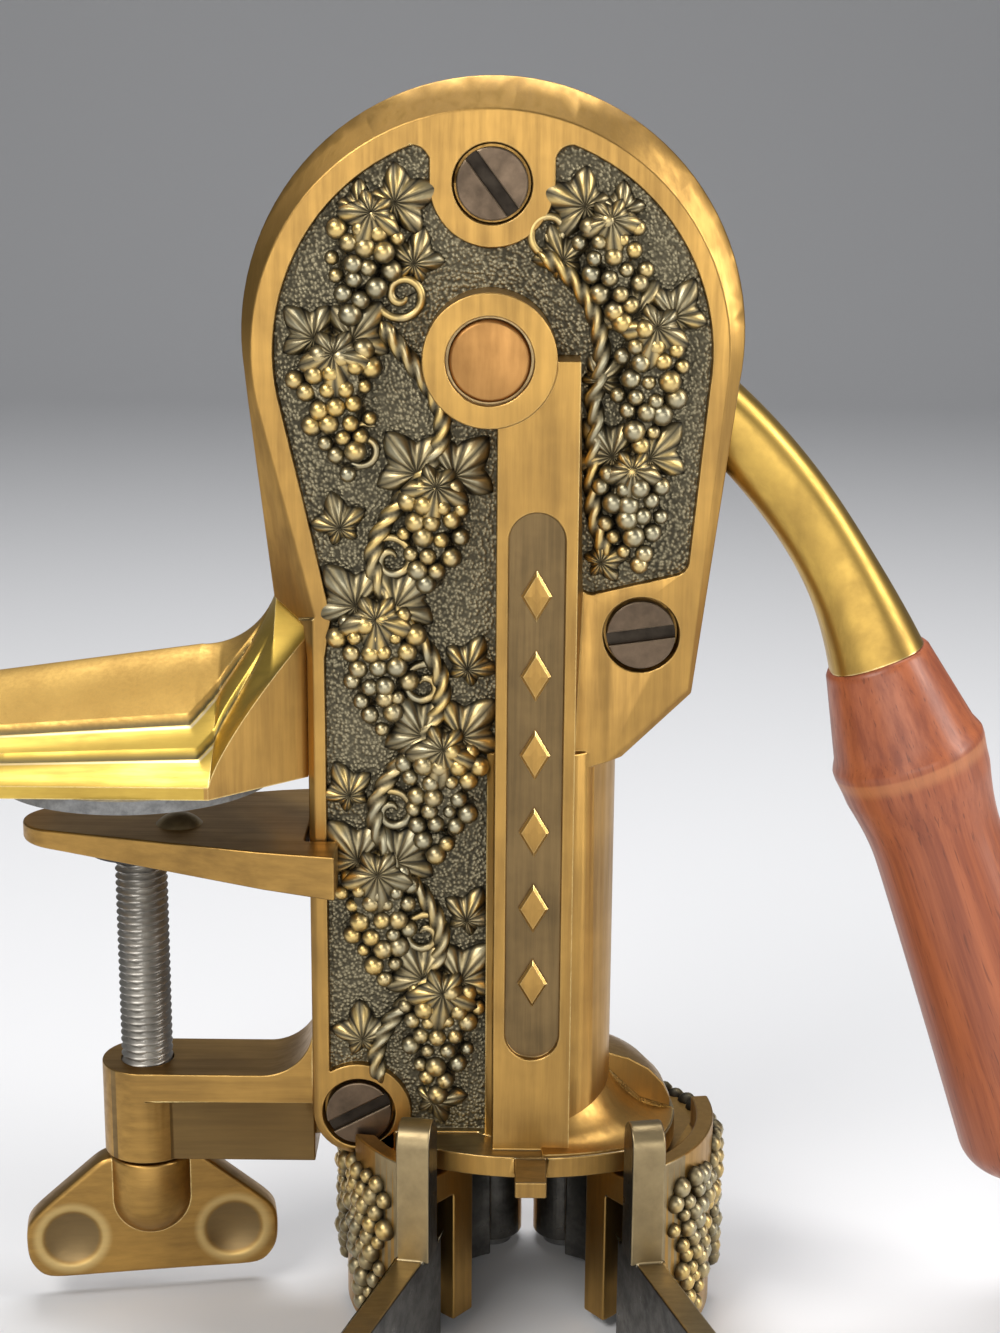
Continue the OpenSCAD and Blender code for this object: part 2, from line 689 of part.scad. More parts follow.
// Right jaw drawn closed, around the column axis. The lip over the flange starts in front of lip_y.
module jaw_closed(lip_y) {
  difference() {
    union() {
      intersection() {
        difference() {
          union() {
            translate([0, 0, jaw_low]) cylinder(r = shell_out, h = jaw_z - jaw_low);
            translate([0, 0, jaw_z - 1]) cylinder(r = shell_out, h = flange_top - jaw_z + 1.5);
          }
          translate([-80, lip_y, jaw_z]) cube([160, 160, 40]);
          translate([0, 0, jaw_low - 1]) cylinder(r = jaw_r, h = 100);
          translate([0, 0, jaw_z]) cylinder(r = shell_in, h = 100);
          translate([0, 0, jaw_low - 1]) difference() {
            cylinder(r = shell_in, h = jaw_h - 6);
            translate([0, 0, -1]) cylinder(r = jaw_r + 7, h = 100);
          }
        }
        translate([0, 0, jaw_low - 2]) linear_extrude(100)
          polygon([[5, 0], [5.2, -10], [25, -45], [60, -45], [60, 37], [19.6, 37], [5, 9.4]]);
      }
      translate([jaw_pin[0], jaw_pin[1], jaw_low]) cylinder(r = 7.5, h = jaw_h);
      translate([ear_x, ear_front, ear_low]) cube([ear_w, ear_d, ear_top - ear_low - ear_d / 2]);
      translate([ear_x, ear_front + ear_d / 2, ear_top - ear_d / 2]) rotate([0, 90, 0])
        cylinder(r = ear_d / 2, h = ear_w);
      translate([ear_x + ear_w / 2, ear_front + ear_d / 2, jaw_low]) rotate([0, 0, -81]) {
        translate([-8, -handle_t / 2, 0]) cube([handle_l + 8, handle_t, ear_low - jaw_low + 0.5]);
        translate([handle_l, 0, 0]) cylinder(r = handle_t / 2, h = ear_low - jaw_low + 0.5);
      }
    }
    translate([jaw_pin[0], jaw_pin[1], jaw_low - 1]) cylinder(r = jaw_pin_r + run, h = 100);
  }
}

module jaw_at_rest(lip_y) {
  translate([jaw_pin[0], jaw_pin[1], 0]) rotate([0, 0, jaw_open]) translate([-jaw_pin[0], -jaw_pin[1], 0])
    jaw_closed(lip_y);
}

module right_jaw() {
  color([0.5, 0.4, 0.2]) translate([worm_x, 0, 0]) jaw_at_rest(1.5);
}

module left_jaw() {
  color([0.5, 0.4, 0.2]) translate([worm_x, 0, 0]) mirror([1, 0, 0]) jaw_at_rest(-20);
}

module jaw_pins() {
  color([0.6, 0.6, 0.6])
    for (s = [-1, 1])
      translate([worm_x + s * jaw_pin[0], jaw_pin[1], 0]) {
        translate([0, 0, jaw_low - 0.5]) cylinder(r = jaw_pin_r, h = flange_top + 2.5 - jaw_low);
        translate([0, 0, jaw_low - 2.5]) cylinder(r = 5, h = 2);
      }
}

// Everything under the arm's root slope on the side of -Y
module under_slope(root_x) {
  p = [20, -arm_half, pad_t + 1.5];
  n = cross([root_x, -12, pad_t + 32] - p, [15.4, 0, arm_crown] - p);
  translate(p) rotate([0, acos(n[2] / norm(n)), atan2(n[1], n[0])])
    translate([-far / 2, -far / 2, -far]) cube([far, far, far]);
}

// Plan of the clamp arm from x0 to its root
module arm_plan(x0, root_x) {
  polygon([[x0, -arm_half + 4], [x0 + 4, -arm_half], [20, -arm_half], [root_x, -12],
    [root_x, 12], [20, arm_half], [x0 + 4, arm_half], [x0, arm_half - 4]]);
}

// Crowned clamp arm: two steps along each side, a root that sweeps up, a tongue held between the halves
module table_arm() {
  root_x = left_edge - 0.1;
  color([0.64, 0.5, 0.18]) {
    intersection() {
      translate([0, 0, pad_t]) linear_extrude(60) arm_plan(-arm_reach, root_x);
      translate([-arm_reach - 1, 0, 0]) rotate([90, 0, 90]) linear_extrude(root_x + arm_reach + 1)
        polygon([[-arm_half, 0], [-arm_half, pad_t + 2.8], [8.2 - arm_half, pad_t + 6],
          [8.8 - arm_half, pad_t + 7.6], [14.2 - arm_half, pad_t + 11], [14.8 - arm_half, pad_t + 12.8],
          [-8, arm_crown - 6], [0, arm_crown], [8, arm_crown - 6], [arm_half - 14.8, pad_t + 12.8],
          [arm_half - 14.2, pad_t + 11], [arm_half - 8.8, pad_t + 7.6], [arm_half - 8.2, pad_t + 6],
          [arm_half, pad_t + 2.8], [arm_half, 0]]);
      slab(-60, 60) polygon([[-arm_reach, 0], [root_x, 0], [root_x, arm_crown], [22, arm_crown],
        [-arm_reach, arm_crown - 7.5]]);
    }
    intersection() {
      slab(-arm_half - 1, arm_half + 1) difference() {
        polygon([[14, pad_t], [root_x, pad_t], [root_x, pivot_z - 66],
          [left_edge + kink[0] + left_x, pivot_z + kink[1] - 0.1],
          [left_edge + flank[0] + left_x, pivot_z + flank[1] - 0.1], [14, pivot_z + flank[1]]]);
        translate([left_edge - 24.5, arm_crown + 17]) circle(17.3);
        translate([left_edge - 43, arm_crown - 1]) square([18.6, 30]);
      }
      translate([0, 0, pad_t - 0.5]) linear_extrude(60) arm_plan(5, root_x);
      under_slope(root_x);
      mirror([0, 1, 0]) under_slope(root_x);
    }
    translate([root_x - 1, -tongue_y, 10]) cube([wall + 1.1, 2 * tongue_y, 24]);
    translate([left_edge + wall, -cav_y, 7]) cube([2.4, 2 * cav_y, 30]);
  }
}

module seat_pad() {
  color([0.42, 0.42, 0.42]) cylinder(r = pad_r, h = pad_t);
}

// Pressure plate, forked over the body's left edge
module pressure_plate() {
  color([0.62, 0.48, 0.18]) difference() {
    intersection() {
      translate([0, 0, plate_top - 20]) linear_extrude(20) {
        translate([-17, 0]) circle(9.5);
        polygon([[-19.6, -9.1], [30, -plate_half + 3], [46.4, -plate_half], [46.4, plate_half],
          [30, plate_half - 3], [-19.6, 9.1]]);
      }
      slab(-60, 60)
        polygon([[-30, plate_top], [50, plate_top], [50, plate_top - 10.4], [-30, plate_top - 3.6]]);
    }
    translate([0, 0, cup_top - 20]) cylinder(r = cup_r, h = 20);
    translate([left_edge - 0.9, -rim_y - 0.7, plate_top - 30]) cube([40, 2 * rim_y + 1.4, 40]);
    translate([rivet_p[0], rivet_p[1], plate_top - 30]) cylinder(r = 1.8, h = 40);
  }
}

// Cup under the plate that holds the screw's headed end
module swivel_cup() {
  color([0.2, 0.2, 0.2]) translate([0, 0, cup_low]) difference() {
    cylinder(r = cup_r, h = cup_top - cup_low);
    translate([0, 0, -1]) cylinder(r = 4.5 + run, h = 10);
    translate([0, 0, 1.8]) cylinder(r = 5.6, h = 10);
    translate([rivet_p[0], rivet_p[1], -1]) cylinder(r = 1.8, h = 10);
  }
}

module cup_rivet() {
  h = 2.5;
  r = 5.3;
  s = (r * r + h * h) / (2 * h);
  color([0.7, 0.6, 0.4]) translate([rivet_p[0], rivet_p[1], 0]) {
    translate([0, 0, cup_low]) cylinder(r = 1.8, h = plate_top - cup_low);
    intersection() {
      translate([0, 0, plate_top + h - s]) sphere(r = s);
      translate([-10, -10, plate_top]) cube([20, 20, 20]);
    }
  }
}

// Threaded screw with a headed spigot at its top
module clamp_screw() {
  top = cup_low - 1;
  low = -bracket_low - 14;
  n = floor((top - low - 8) / pitch);
  d = pitch * 0.55;
  tooth = [[screw_r - d, 0.1], [screw_r, 0.42], [screw_r, 0.58], [screw_r - d, 0.9]];
  teeth = [for (i = [0:n - 1]) for (p = tooth) [p[0], low + 7 + (i + p[1]) * pitch]];
  color([0.45, 0.45, 0.45]) {
    difference() {
      rotate_extrude() polygon(concat([[0, low], [screw_r, low], [screw_r, low + 7]], teeth,
        [[screw_r - d, top], [0, top]]));
      translate([-20, 0, -bracket_low - 6]) rotate([0, 90, 0]) cylinder(r = 1.5, h = 40);
    }
    translate([0, 0, top - 0.5]) cylinder(r = 4.5, h = cup_low + 3.4 - top);
    translate([0, 0, cup_low + 1.9]) cylinder(r = 5.2, h = 2);
  }
}

// Wing with two dished finger rests on each face, turned a little about the screw
module wing_knob() {
  z = -bracket_low;
  color([0.62, 0.47, 0.18]) rotate([0, 0, 9.5]) difference() {
    union() {
      slab(-wing_t / 2, wing_t / 2) polygon([[-11, z - 1.2], [11, z - 1.2], [wing_half, z - 17],
        [wing_half, z - 27.5], [wing_half - 4, z - 31.5], [4 - wing_half, z - 31.5], [-wing_half, z - 27.5],
        [-wing_half, z - 17]]);
      translate([0, 0, z - 12]) cylinder(r = wing_hub_r, h = 11);
      translate([0, 0, z - 12]) intersection() {
        sphere(r = wing_hub_r);
        translate([-20, -20, -40]) cube([40, 40, 40]);
      }
    }
    translate([0, 0, z - 14]) cylinder(r = screw_r, h = 20);
    for (s = [-1, 1])
      for (f = [-1, 1])
        translate([s * (wing_half - 10.6), f * (wing_t / 2 + 14), z - 21.5]) sphere(r = 15.8);
    rotate([0, 0, -9.5]) translate([-9, 0, z - 6]) rotate([0, 90, 0]) cylinder(r = 1.5, h = 18);
  }
}

module knob_pin() {
  color([0.6, 0.6, 0.6]) translate([-9, 0, -bracket_low - 6]) rotate([0, 90, 0]) cylinder(r = 1.5, h = 18);
}

// Lower bracket: plate, web and threaded boss, with a tongue around the low cover screw
module clamp_bracket() {
  x1 = left_edge - 0.1;
  color([0.55, 0.43, 0.18]) difference() {
    union() {
      translate([0, 0, -bracket_low]) cylinder(r = boss_r, h = bracket_low - bracket_top);
      translate([0, -boss_r, -bracket_top - 6.9]) cube([x1, 2 * boss_r, 6.9]);
      translate([0, -8, -bracket_low]) cube([x1, 16, bracket_low - bracket_top]);
      slab(-boss_r, boss_r) difference() {
        translate([x1 - 12, -bracket_top - 1]) square([12, 13]);
        translate([x1 - 12, -bracket_top + 12]) circle(12);
      }
      translate([x1 - 1, -tongue_y, -86]) cube([21.1, 2 * tongue_y, 20]);
    }
    translate([0, 0, -bracket_low - 1]) cylinder(r = screw_r + run, h = 60);
    at(low_screw) rod(shank_screw_r, -30, 30);
  }
}

front_cover();
rear_housing();
cover_screws();
front_bush();
rear_bush();
lever_shaft();
hub_pin();
lever_arm();
drive_pin();
grip_tang();
grip();
front_yoke();
rear_yoke();
carriage_block();
yoke_rivets();
thrust_washer();
worm_nut();
worm();
guide_nut();
guide_pins();
neck_ring();
left_jaw();
right_jaw();
jaw_pins();
table_arm();
seat_pad();
pressure_plate();
swivel_cup();
cup_rivet();
clamp_screw();
wing_knob();
knob_pin();
clamp_bracket();
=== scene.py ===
import json
import math

import bmesh
import bpy
import numpy as np
from mathutils import Matrix, Vector

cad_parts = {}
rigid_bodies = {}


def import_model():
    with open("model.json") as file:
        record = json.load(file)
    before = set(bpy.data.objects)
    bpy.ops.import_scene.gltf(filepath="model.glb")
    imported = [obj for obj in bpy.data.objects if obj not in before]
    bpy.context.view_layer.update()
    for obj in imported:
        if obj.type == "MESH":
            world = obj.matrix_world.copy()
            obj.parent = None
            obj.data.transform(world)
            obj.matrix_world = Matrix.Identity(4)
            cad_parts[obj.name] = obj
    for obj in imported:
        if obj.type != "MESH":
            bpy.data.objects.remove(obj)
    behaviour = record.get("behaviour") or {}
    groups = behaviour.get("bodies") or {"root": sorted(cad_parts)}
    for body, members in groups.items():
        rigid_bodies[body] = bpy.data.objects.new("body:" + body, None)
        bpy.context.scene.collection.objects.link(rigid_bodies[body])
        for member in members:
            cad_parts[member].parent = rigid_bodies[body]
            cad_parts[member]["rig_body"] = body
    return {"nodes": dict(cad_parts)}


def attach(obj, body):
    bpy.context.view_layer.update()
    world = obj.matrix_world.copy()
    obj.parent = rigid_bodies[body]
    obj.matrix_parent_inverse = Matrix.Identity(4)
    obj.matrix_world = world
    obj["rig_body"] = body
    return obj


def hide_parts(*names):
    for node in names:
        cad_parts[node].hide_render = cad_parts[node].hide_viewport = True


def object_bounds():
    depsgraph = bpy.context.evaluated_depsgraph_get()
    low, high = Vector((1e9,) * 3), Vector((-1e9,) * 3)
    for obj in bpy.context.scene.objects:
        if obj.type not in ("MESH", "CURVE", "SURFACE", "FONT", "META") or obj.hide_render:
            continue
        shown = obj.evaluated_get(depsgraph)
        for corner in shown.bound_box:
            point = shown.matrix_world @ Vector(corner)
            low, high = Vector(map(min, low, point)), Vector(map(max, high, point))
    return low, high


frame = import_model()
cad_low, cad_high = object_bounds()


# Camera: it stands a little above the opener's head and looks down on the decorated front. The lens is
# moderately long, and its place and angles are those at which the solids fit the picture's edges.
mm = 0.001
eye = Vector((84.55, -488.58, 150.08)) * mm
dip, yaw, roll = np.radians([14.3, 0.3, 0.44])
sensor_h, focal_px, image_px = 36.0, 2250, 1333
look = Vector((-math.sin(yaw) * math.cos(dip), math.cos(yaw) * math.cos(dip), -math.sin(dip)))
level = look.cross(Vector((0, 0, 1))).normalized()
rise = level.cross(look)
across = level * math.cos(roll) + rise * math.sin(roll)
upward = rise * math.cos(roll) - level * math.sin(roll)
camera = bpy.data.objects.new("camera", bpy.data.cameras.new("camera"))
camera.data.sensor_fit = "VERTICAL"
camera.data.sensor_height = sensor_h
camera.data.lens = sensor_h * focal_px / image_px
camera.data.clip_start = 0.01
camera.matrix_world = Matrix.Translation(eye) @ Matrix((across, upward, -look)).transposed().to_4x4()
bpy.context.scene.collection.objects.link(camera)
bpy.context.scene.camera = camera
bpy.context.scene.view_settings.view_transform = "Standard"


# Studio: a sheet of pale paper that lies under the opener and curves up behind it, four large soft lamps and
# an even grey surround. It is only the stage, and nothing of it belongs to the opener.
def quads(rows, cols, closed=False):
    """Corner numbers of the quads between neighbouring points of a grid of rows by cols. Closed joins the
    last column to the first."""
    r, c = np.meshgrid(np.arange(rows - 1), np.arange(cols if closed else cols - 1), indexing="ij")
    r, c, c1 = r.ravel(), c.ravel(), (c.ravel() + 1) % cols
    return np.stack([r * cols + c, r * cols + c1, (r + 1) * cols + c1, (r + 1) * cols + c], axis=1)


def skin(name, patches, smooth=True, lift=None):
    """One mesh of several (points, corners) patches, with doubled points joined and faces turned outwards.
    lift is one value for each point, kept as an attribute."""
    starts = np.cumsum([0] + [len(p) for p, _ in patches])
    points = np.concatenate([p for p, _ in patches])
    corners = np.concatenate([f + s for (_, f), s in zip(patches, starts)])
    mesh = bpy.data.meshes.new(name)
    mesh.from_pydata(points.tolist(), [], corners.tolist())
    if lift is not None:
        kept = mesh.attributes.new("lift", "FLOAT", "POINT")
        kept.data.foreach_set("value", np.asarray(lift, np.float32))
    work = bmesh.new()
    work.from_mesh(mesh)
    bmesh.ops.remove_doubles(work, verts=work.verts, dist=2e-6)
    bmesh.ops.dissolve_degenerate(work, edges=work.edges, dist=1e-7)
    bmesh.ops.recalc_face_normals(work, faces=work.faces)
    work.to_mesh(mesh)
    work.free()
    if smooth:
        mesh.shade_smooth()
    piece = bpy.data.objects.new(name, mesh)
    bpy.context.scene.collection.objects.link(piece)
    return piece


floor_z = cad_low[2] - 0.2 * mm
paper_front, paper_bend, paper_bend_r, paper_half = -2.5, 1.6, 0.9, 4.0
bend_a = np.linspace(0.05, np.pi / 2, 18)
run = np.concatenate([np.linspace(paper_front, paper_bend, 24), paper_bend + paper_bend_r * np.sin(bend_a),
                      np.full(6, paper_bend + paper_bend_r)])
climb = np.concatenate([np.zeros(24), paper_bend_r - paper_bend_r * np.cos(bend_a), np.linspace(1.2, 3.0, 6)])
paper_y, paper_x = np.meshgrid(run, np.linspace(-paper_half, paper_half, 9), indexing="ij")
sweep = np.stack([paper_x, paper_y, climb[:, None] + floor_z + 0 * paper_x], axis=2)
floor = skin("floor", [(sweep.reshape(-1, 3), quads(*paper_x.shape))])
paper = bpy.data.materials.new("pale_paper")
paper.use_nodes = True
paper.node_tree.nodes["Principled BSDF"].inputs["Base Color"].default_value = (0.71, 0.71, 0.72, 1)
paper.node_tree.nodes["Principled BSDF"].inputs["Roughness"].default_value = 0.75
floor.data.materials.append(paper)

surround = bpy.data.worlds.new("surround")
surround.use_nodes = True
surround.node_tree.nodes["Background"].inputs["Color"].default_value = (0.42, 0.44, 0.47, 1)
surround.node_tree.nodes["Background"].inputs["Strength"].default_value = 0.3
bpy.context.scene.world = surround


def softbox(name, place, target, width, height, watts, tint):
    """A rectangular lamp at place that faces target."""
    lamp = bpy.data.lights.new(name, "AREA")
    lamp.shape = "RECTANGLE"
    lamp.size, lamp.size_y = width, height
    lamp.energy = watts
    lamp.color = tint
    holder = bpy.data.objects.new(name, lamp)
    faced = (Vector(target) - Vector(place)).to_track_quat("-Z", "Y")
    holder.matrix_world = Matrix.Translation(Vector(place)) @ faced.to_matrix().to_4x4()
    bpy.context.scene.collection.objects.link(holder)


softbox("key_lamp", (-0.55, -0.75, 0.95), (0.06, 0, 0.02), 0.7, 0.5, 11.0, (1.0, 0.98, 0.95))
softbox("front_lamp", (0.1, -1.35, 0.25), (0.1, 0, 0.0), 1.5, 0.6, 8.0, (1.0, 0.99, 0.97))
softbox("side_lamp", (0.95, -0.25, 0.45), (0.1, 0, 0.0), 0.25, 0.9, 7.0, (1.0, 0.99, 0.97))
softbox("top_lamp", (0.1, 0.35, 1.1), (0.08, 0, 0.05), 0.9, 0.4, 11.0, (0.97, 0.98, 1.0))


# Front and rear castings: the opener's two body halves, cast in bronze,
# antiqued and held together by three screws. The raised lands are brushed
# and their edges rubbed bright, the sunk fields are pebbled and left dark.
pivot_x, pivot_z = 79.5, 96.5
pivot = np.array([pivot_x, 0.0, pivot_z]) * mm
field_depth, rim_depth, panel_depth = 12.0, 14.0, 21.1
column_x, flange_top = 89.8, -81.5
corner_r, corner_cuts, depth_play, upper_from = 3.4, 6, 0.1, 18.5
casting_ease, ease_from = 0.35, math.radians(32)
bronze_light, bronze_dark, bronze_rubbed_and_highlight = (0.53, 0.310, 0.085), (0.27, 0.158, 0.050), (0.82, 0.63, 0.28)


def node_group(name, inputs, outputs):
    """An empty shader group with the named sockets. An
    input is (name, kind, value), an output (name, kind)."""
    group = bpy.data.node_groups.new(name, "ShaderNodeTree")
    for label, kind, value in inputs:
        socket = group.interface.new_socket(label, in_out="INPUT", socket_type="NodeSocket" + kind)
        if value is not None:
            socket.default_value = value
    for label, kind in outputs:
        group.interface.new_socket(label, in_out="OUTPUT", socket_type="NodeSocket" + kind)
    return group, group.nodes.new("NodeGroupInput"), group.nodes.new("NodeGroupOutput")


def wire(tree, kind, **settings):
    """Adds a node of that kind. Settings named in_ and a socket go to that socket, the rest to the node."""
    node = tree.nodes.new("ShaderNode" + kind)
    for key, value in settings.items():
        if key.startswith("in_"):
            label = key[3:]
            socket = node.inputs[int(label)] if label.isdigit() else node.inputs[label.replace("_", " ")]
            if isinstance(value, bpy.types.NodeSocket):
                tree.links.new(value, socket)
            else:
                socket.default_value = value
        else:
            setattr(node, key, value)
    return node


def math_node(tree, operation, a, b=0.0, clamp=False):
    """The result of one sum of a and b, kept within 0 and 1 where clamp is set."""
    return wire(tree, "Math", operation=operation, use_clamp=clamp, in_0=a, in_1=b).outputs[0]


def mix_colour(tree, factor, a, b):
    """Colour a where factor is 0, b where it is 1. The
    numbers are those of the Mix node's colour sockets."""
    return wire(tree, "Mix", data_type="RGBA", in_0=factor, in_6=a, in_7=b).outputs[2]


def spread(tree, value, low, high, to_low=0.0, to_high=1.0):
    """Maps low..high smoothly to to_low..to_high."""
    return wire(tree, "MapRange", interpolation_type="SMOOTHSTEP", in_0=value, in_1=low, in_2=high,
                in_3=to_low, in_4=to_high).outputs[0]


def blank(name):
    """A new material, with its node tree, its shader and the Object coordinates."""
    made = bpy.data.materials.new(name)
    made.use_nodes = True
    tree = made.node_tree
    return made, tree, tree.nodes["Principled BSDF"], wire(tree, "TexCoord").outputs["Object"]


# Aged metal, a group for every metal: broad cloudy patches and fine lengthwise brush marks mix a light and a
# dark tone, and the same marks give the roughness and the height.
aged, given, gives = node_group("aged_metal", [
    ("Vector", "Vector", None), ("Brush", "Vector", (600.0, 600.0, 30.0)), ("Light", "Color", (1, 1, 1, 1)),
    ("Dark", "Color", (0, 0, 0, 1)), ("Patches", "Float", 40.0), ("Worn", "Float", 0.5)],
    [("Color", "Color"), ("Roughness", "Float"), ("Height", "Float")])
drawn = wire(aged, "VectorMath", operation="MULTIPLY", in_0=given.outputs["Vector"],
             in_1=given.outputs["Brush"]).outputs[0]
marks = wire(aged, "TexNoise", in_Vector=drawn, in_Scale=1.0, in_Detail=5.0, in_Roughness=0.65).outputs[0]
cloud = wire(aged, "TexNoise", in_Vector=given.outputs["Vector"], in_Scale=given.outputs["Patches"],
             in_Detail=4.0, in_Roughness=0.6).outputs[0]
tone = math_node(aged, "ADD", math_node(aged, "MULTIPLY", spread(aged, cloud, 0.3, 0.7), 0.55),
                 math_node(aged, "MULTIPLY", spread(aged, marks, 0.25, 0.75), 0.45))
tone = math_node(aged, "ADD", tone, math_node(aged, "SUBTRACT", given.outputs["Worn"], 0.5), clamp=True)
aged.links.new(mix_colour(aged, tone, given.outputs["Dark"], given.outputs["Light"]), gives.inputs["Color"])
rubbed = math_node(aged, "ADD", math_node(aged, "MULTIPLY", marks, 0.7),
                   math_node(aged, "MULTIPLY", cloud, 0.3))
aged.links.new(spread(aged, rubbed, 0.3, 0.7, 0.40, 0.26), gives.inputs["Roughness"])
aged.links.new(marks, gives.inputs["Height"])

# Edge rub, a group for the handled metals: a mask of how far the surface turns within a small radius, broken
# up by fine noise, so that outer edges can be rubbed bright.
rub, given, gives = node_group("edge_rub", [("Vector", "Vector", None), ("Radius", "Float", 0.0006)],
                               [("Edge", "Float")])
round_normal = wire(rub, "Bevel", samples=6, in_Radius=given.outputs["Radius"]).outputs[0]
agreed = wire(rub, "VectorMath", operation="DOT_PRODUCT", in_0=round_normal,
              in_1=wire(rub, "NewGeometry").outputs["Normal"]).outputs["Value"]
broken = wire(rub, "TexNoise", in_Vector=given.outputs["Vector"], in_Scale=900.0, in_Detail=3.0).outputs[0]
edge = math_node(rub, "MULTIPLY", spread(rub, agreed, 0.99, 0.86), spread(rub, broken, 0.25, 0.6, 0.45, 1.0))
rub.links.new(edge, gives.inputs["Edge"])


def metal(name, light, dark, worn=0.5, brush=(600.0, 600.0, 30.0), patches=40.0, bright=None, bump=0.06,
          radius=0.0006, dull=0.0, metallic=1.0):
    """A brushed and aged metal between a light and a dark tone. brush and
    patches are how fine the marks, along x, y and z, and the clouds are, dull
    adds roughness, and bright is the tone of edges rubbed within radius."""
    made, tree, shader, where = blank(name)
    finish = wire(tree, "Group", node_tree=aged, in_Vector=where, in_Brush=brush, in_Light=(*light, 1),
                  in_Dark=(*dark, 1), in_Patches=patches, in_Worn=worn)
    colour, rough = finish.outputs["Color"], math_node(tree, "ADD", finish.outputs["Roughness"], dull)
    if bright is not None:
        worn_edge = wire(tree, "Group", node_tree=rub, in_Vector=where, in_Radius=radius).outputs["Edge"]
        colour = mix_colour(tree, worn_edge, colour, (*bright, 1))
        rough = math_node(tree, "SUBTRACT", rough, math_node(tree, "MULTIPLY", worn_edge, 0.1))
    tree.links.new(colour, shader.inputs["Base Color"])
    tree.links.new(rough, shader.inputs["Roughness"])
    shader.inputs["Metallic"].default_value = metallic
    grooves = wire(tree, "Bump", in_Strength=bump, in_Distance=0.0002, in_Height=finish.outputs["Height"])
    tree.links.new(grooves.outputs[0], shader.inputs["Normal"])
    return made


def points_of(mesh):
    """The mesh's points, one row each, in metres."""
    points = np.zeros(3 * len(mesh.vertices))
    mesh.vertices.foreach_get("co", points)
    return points.reshape(-1, 3)


def faces_of(mesh):
    """Centres and normals of the mesh's faces, one row each, in millimetres and as unit vectors."""
    centre, normal = np.zeros(3 * len(mesh.polygons)), np.zeros(3 * len(mesh.polygons))
    mesh.polygons.foreach_get("center", centre)
    mesh.polygons.foreach_get("normal", normal)
    return centre.reshape(-1, 3) / mm, normal.reshape(-1, 3)


def dress(piece, finishes, chosen=None):
    """Gives the piece those finishes, and each of its faces the one whose number stands in chosen."""
    piece.data.materials.clear()
    for finish in finishes:
        piece.data.materials.append(finish)
    if chosen is not None:
        piece.data.polygons.foreach_set("material_index", np.asarray(chosen).astype(np.int32))


def cut_corners(work):
    """Finds the field's upper inner corners, the edges along y where two of its walls meet by more than 60
    degrees, and cuts both walls where equal angles of the arc that touches them fall. Returns each corner's
    place, its arc's reach along a wall and its middle and the walls' normals, as (x, z) in millimetres, and
    the numbers of the walls' points."""
    flat = lambda v: np.array(v.co.xz) / mm
    in_wall = lambda v: field_depth - depth_play < abs(v.co.y) / mm < rim_depth + depth_play

    def walls_near(corner, reach):
        """The walls' faces that have a point close to the corner."""
        close = lambda v: np.linalg.norm(flat(v) - corner) < reach + 1.5
        return [f for f in work.faces if all(map(in_wall, f.verts)) and abs(f.normal.y) < 0.1
                and any(map(close, f.verts))]

    edges = [e for e in work.edges if all(map(in_wall, e.verts)) and not e.is_convex
             and abs(e.verts[0].co.y - e.verts[1].co.y) > (rim_depth - field_depth - depth_play) * mm
             and e.verts[0].co.z > upper_from * mm and e.calc_face_angle(0) > math.radians(60)]
    found = []
    for corner, normals in [(flat(e.verts[0]), np.array([f.normal.xz for f in e.link_faces])) for e in edges]:
        middle = corner + np.linalg.solve(normals, [corner_r, corner_r])
        reach = math.sqrt(((middle - corner) ** 2).sum() - corner_r ** 2)
        for normal in normals:
            away = middle - corner_r * normal - corner
            away /= np.linalg.norm(away)
            for angle in np.linspace(0, math.atan2(reach, corner_r), corner_cuts + 1)[:-1]:
                cut = (corner + away * (reach - corner_r * math.tan(angle))) * mm
                near = walls_near(corner, reach)
                sides = dict.fromkeys(e for f in near for e in f.edges)
                ends = dict.fromkeys(v for f in near for v in f.verts)
                bmesh.ops.bisect_plane(work, geom=[*near, *sides, *ends], dist=1e-7,
                                       plane_co=(cut[0], 0, cut[1]), plane_no=(away[0], 0, away[1]))
        found.append((corner, reach, middle, normals))
    work.verts.index_update()
    numbers = [sorted({v.index for f in walls_near(*place[:2]) for v in f.verts}) for place in found]
    return [(*place, np.array(those)) for place, those in zip(found, numbers)]


def bend_corners(mesh, found):
    """Moves the walls' points in each cut corner straight
    towards the arc's middle until they lie on the arc."""
    points = points_of(mesh)
    for corner, reach, middle, normals, numbers in found:
        flat = points[numbers][:, [0, 2]] / mm
        out = flat - middle
        far = np.linalg.norm(out, axis=1)
        beyond = (far > corner_r) & (out @ normals.T < 0.01).all(axis=1)
        beyond &= np.linalg.norm(flat - corner, axis=1) < reach + 0.2
        on_arc = middle + out[beyond] * corner_r / far[beyond, None]
        points[numbers[beyond, None], [0, 2]] = on_arc * mm
    mesh.vertices.foreach_set("co", points.ravel())
    mesh.update()


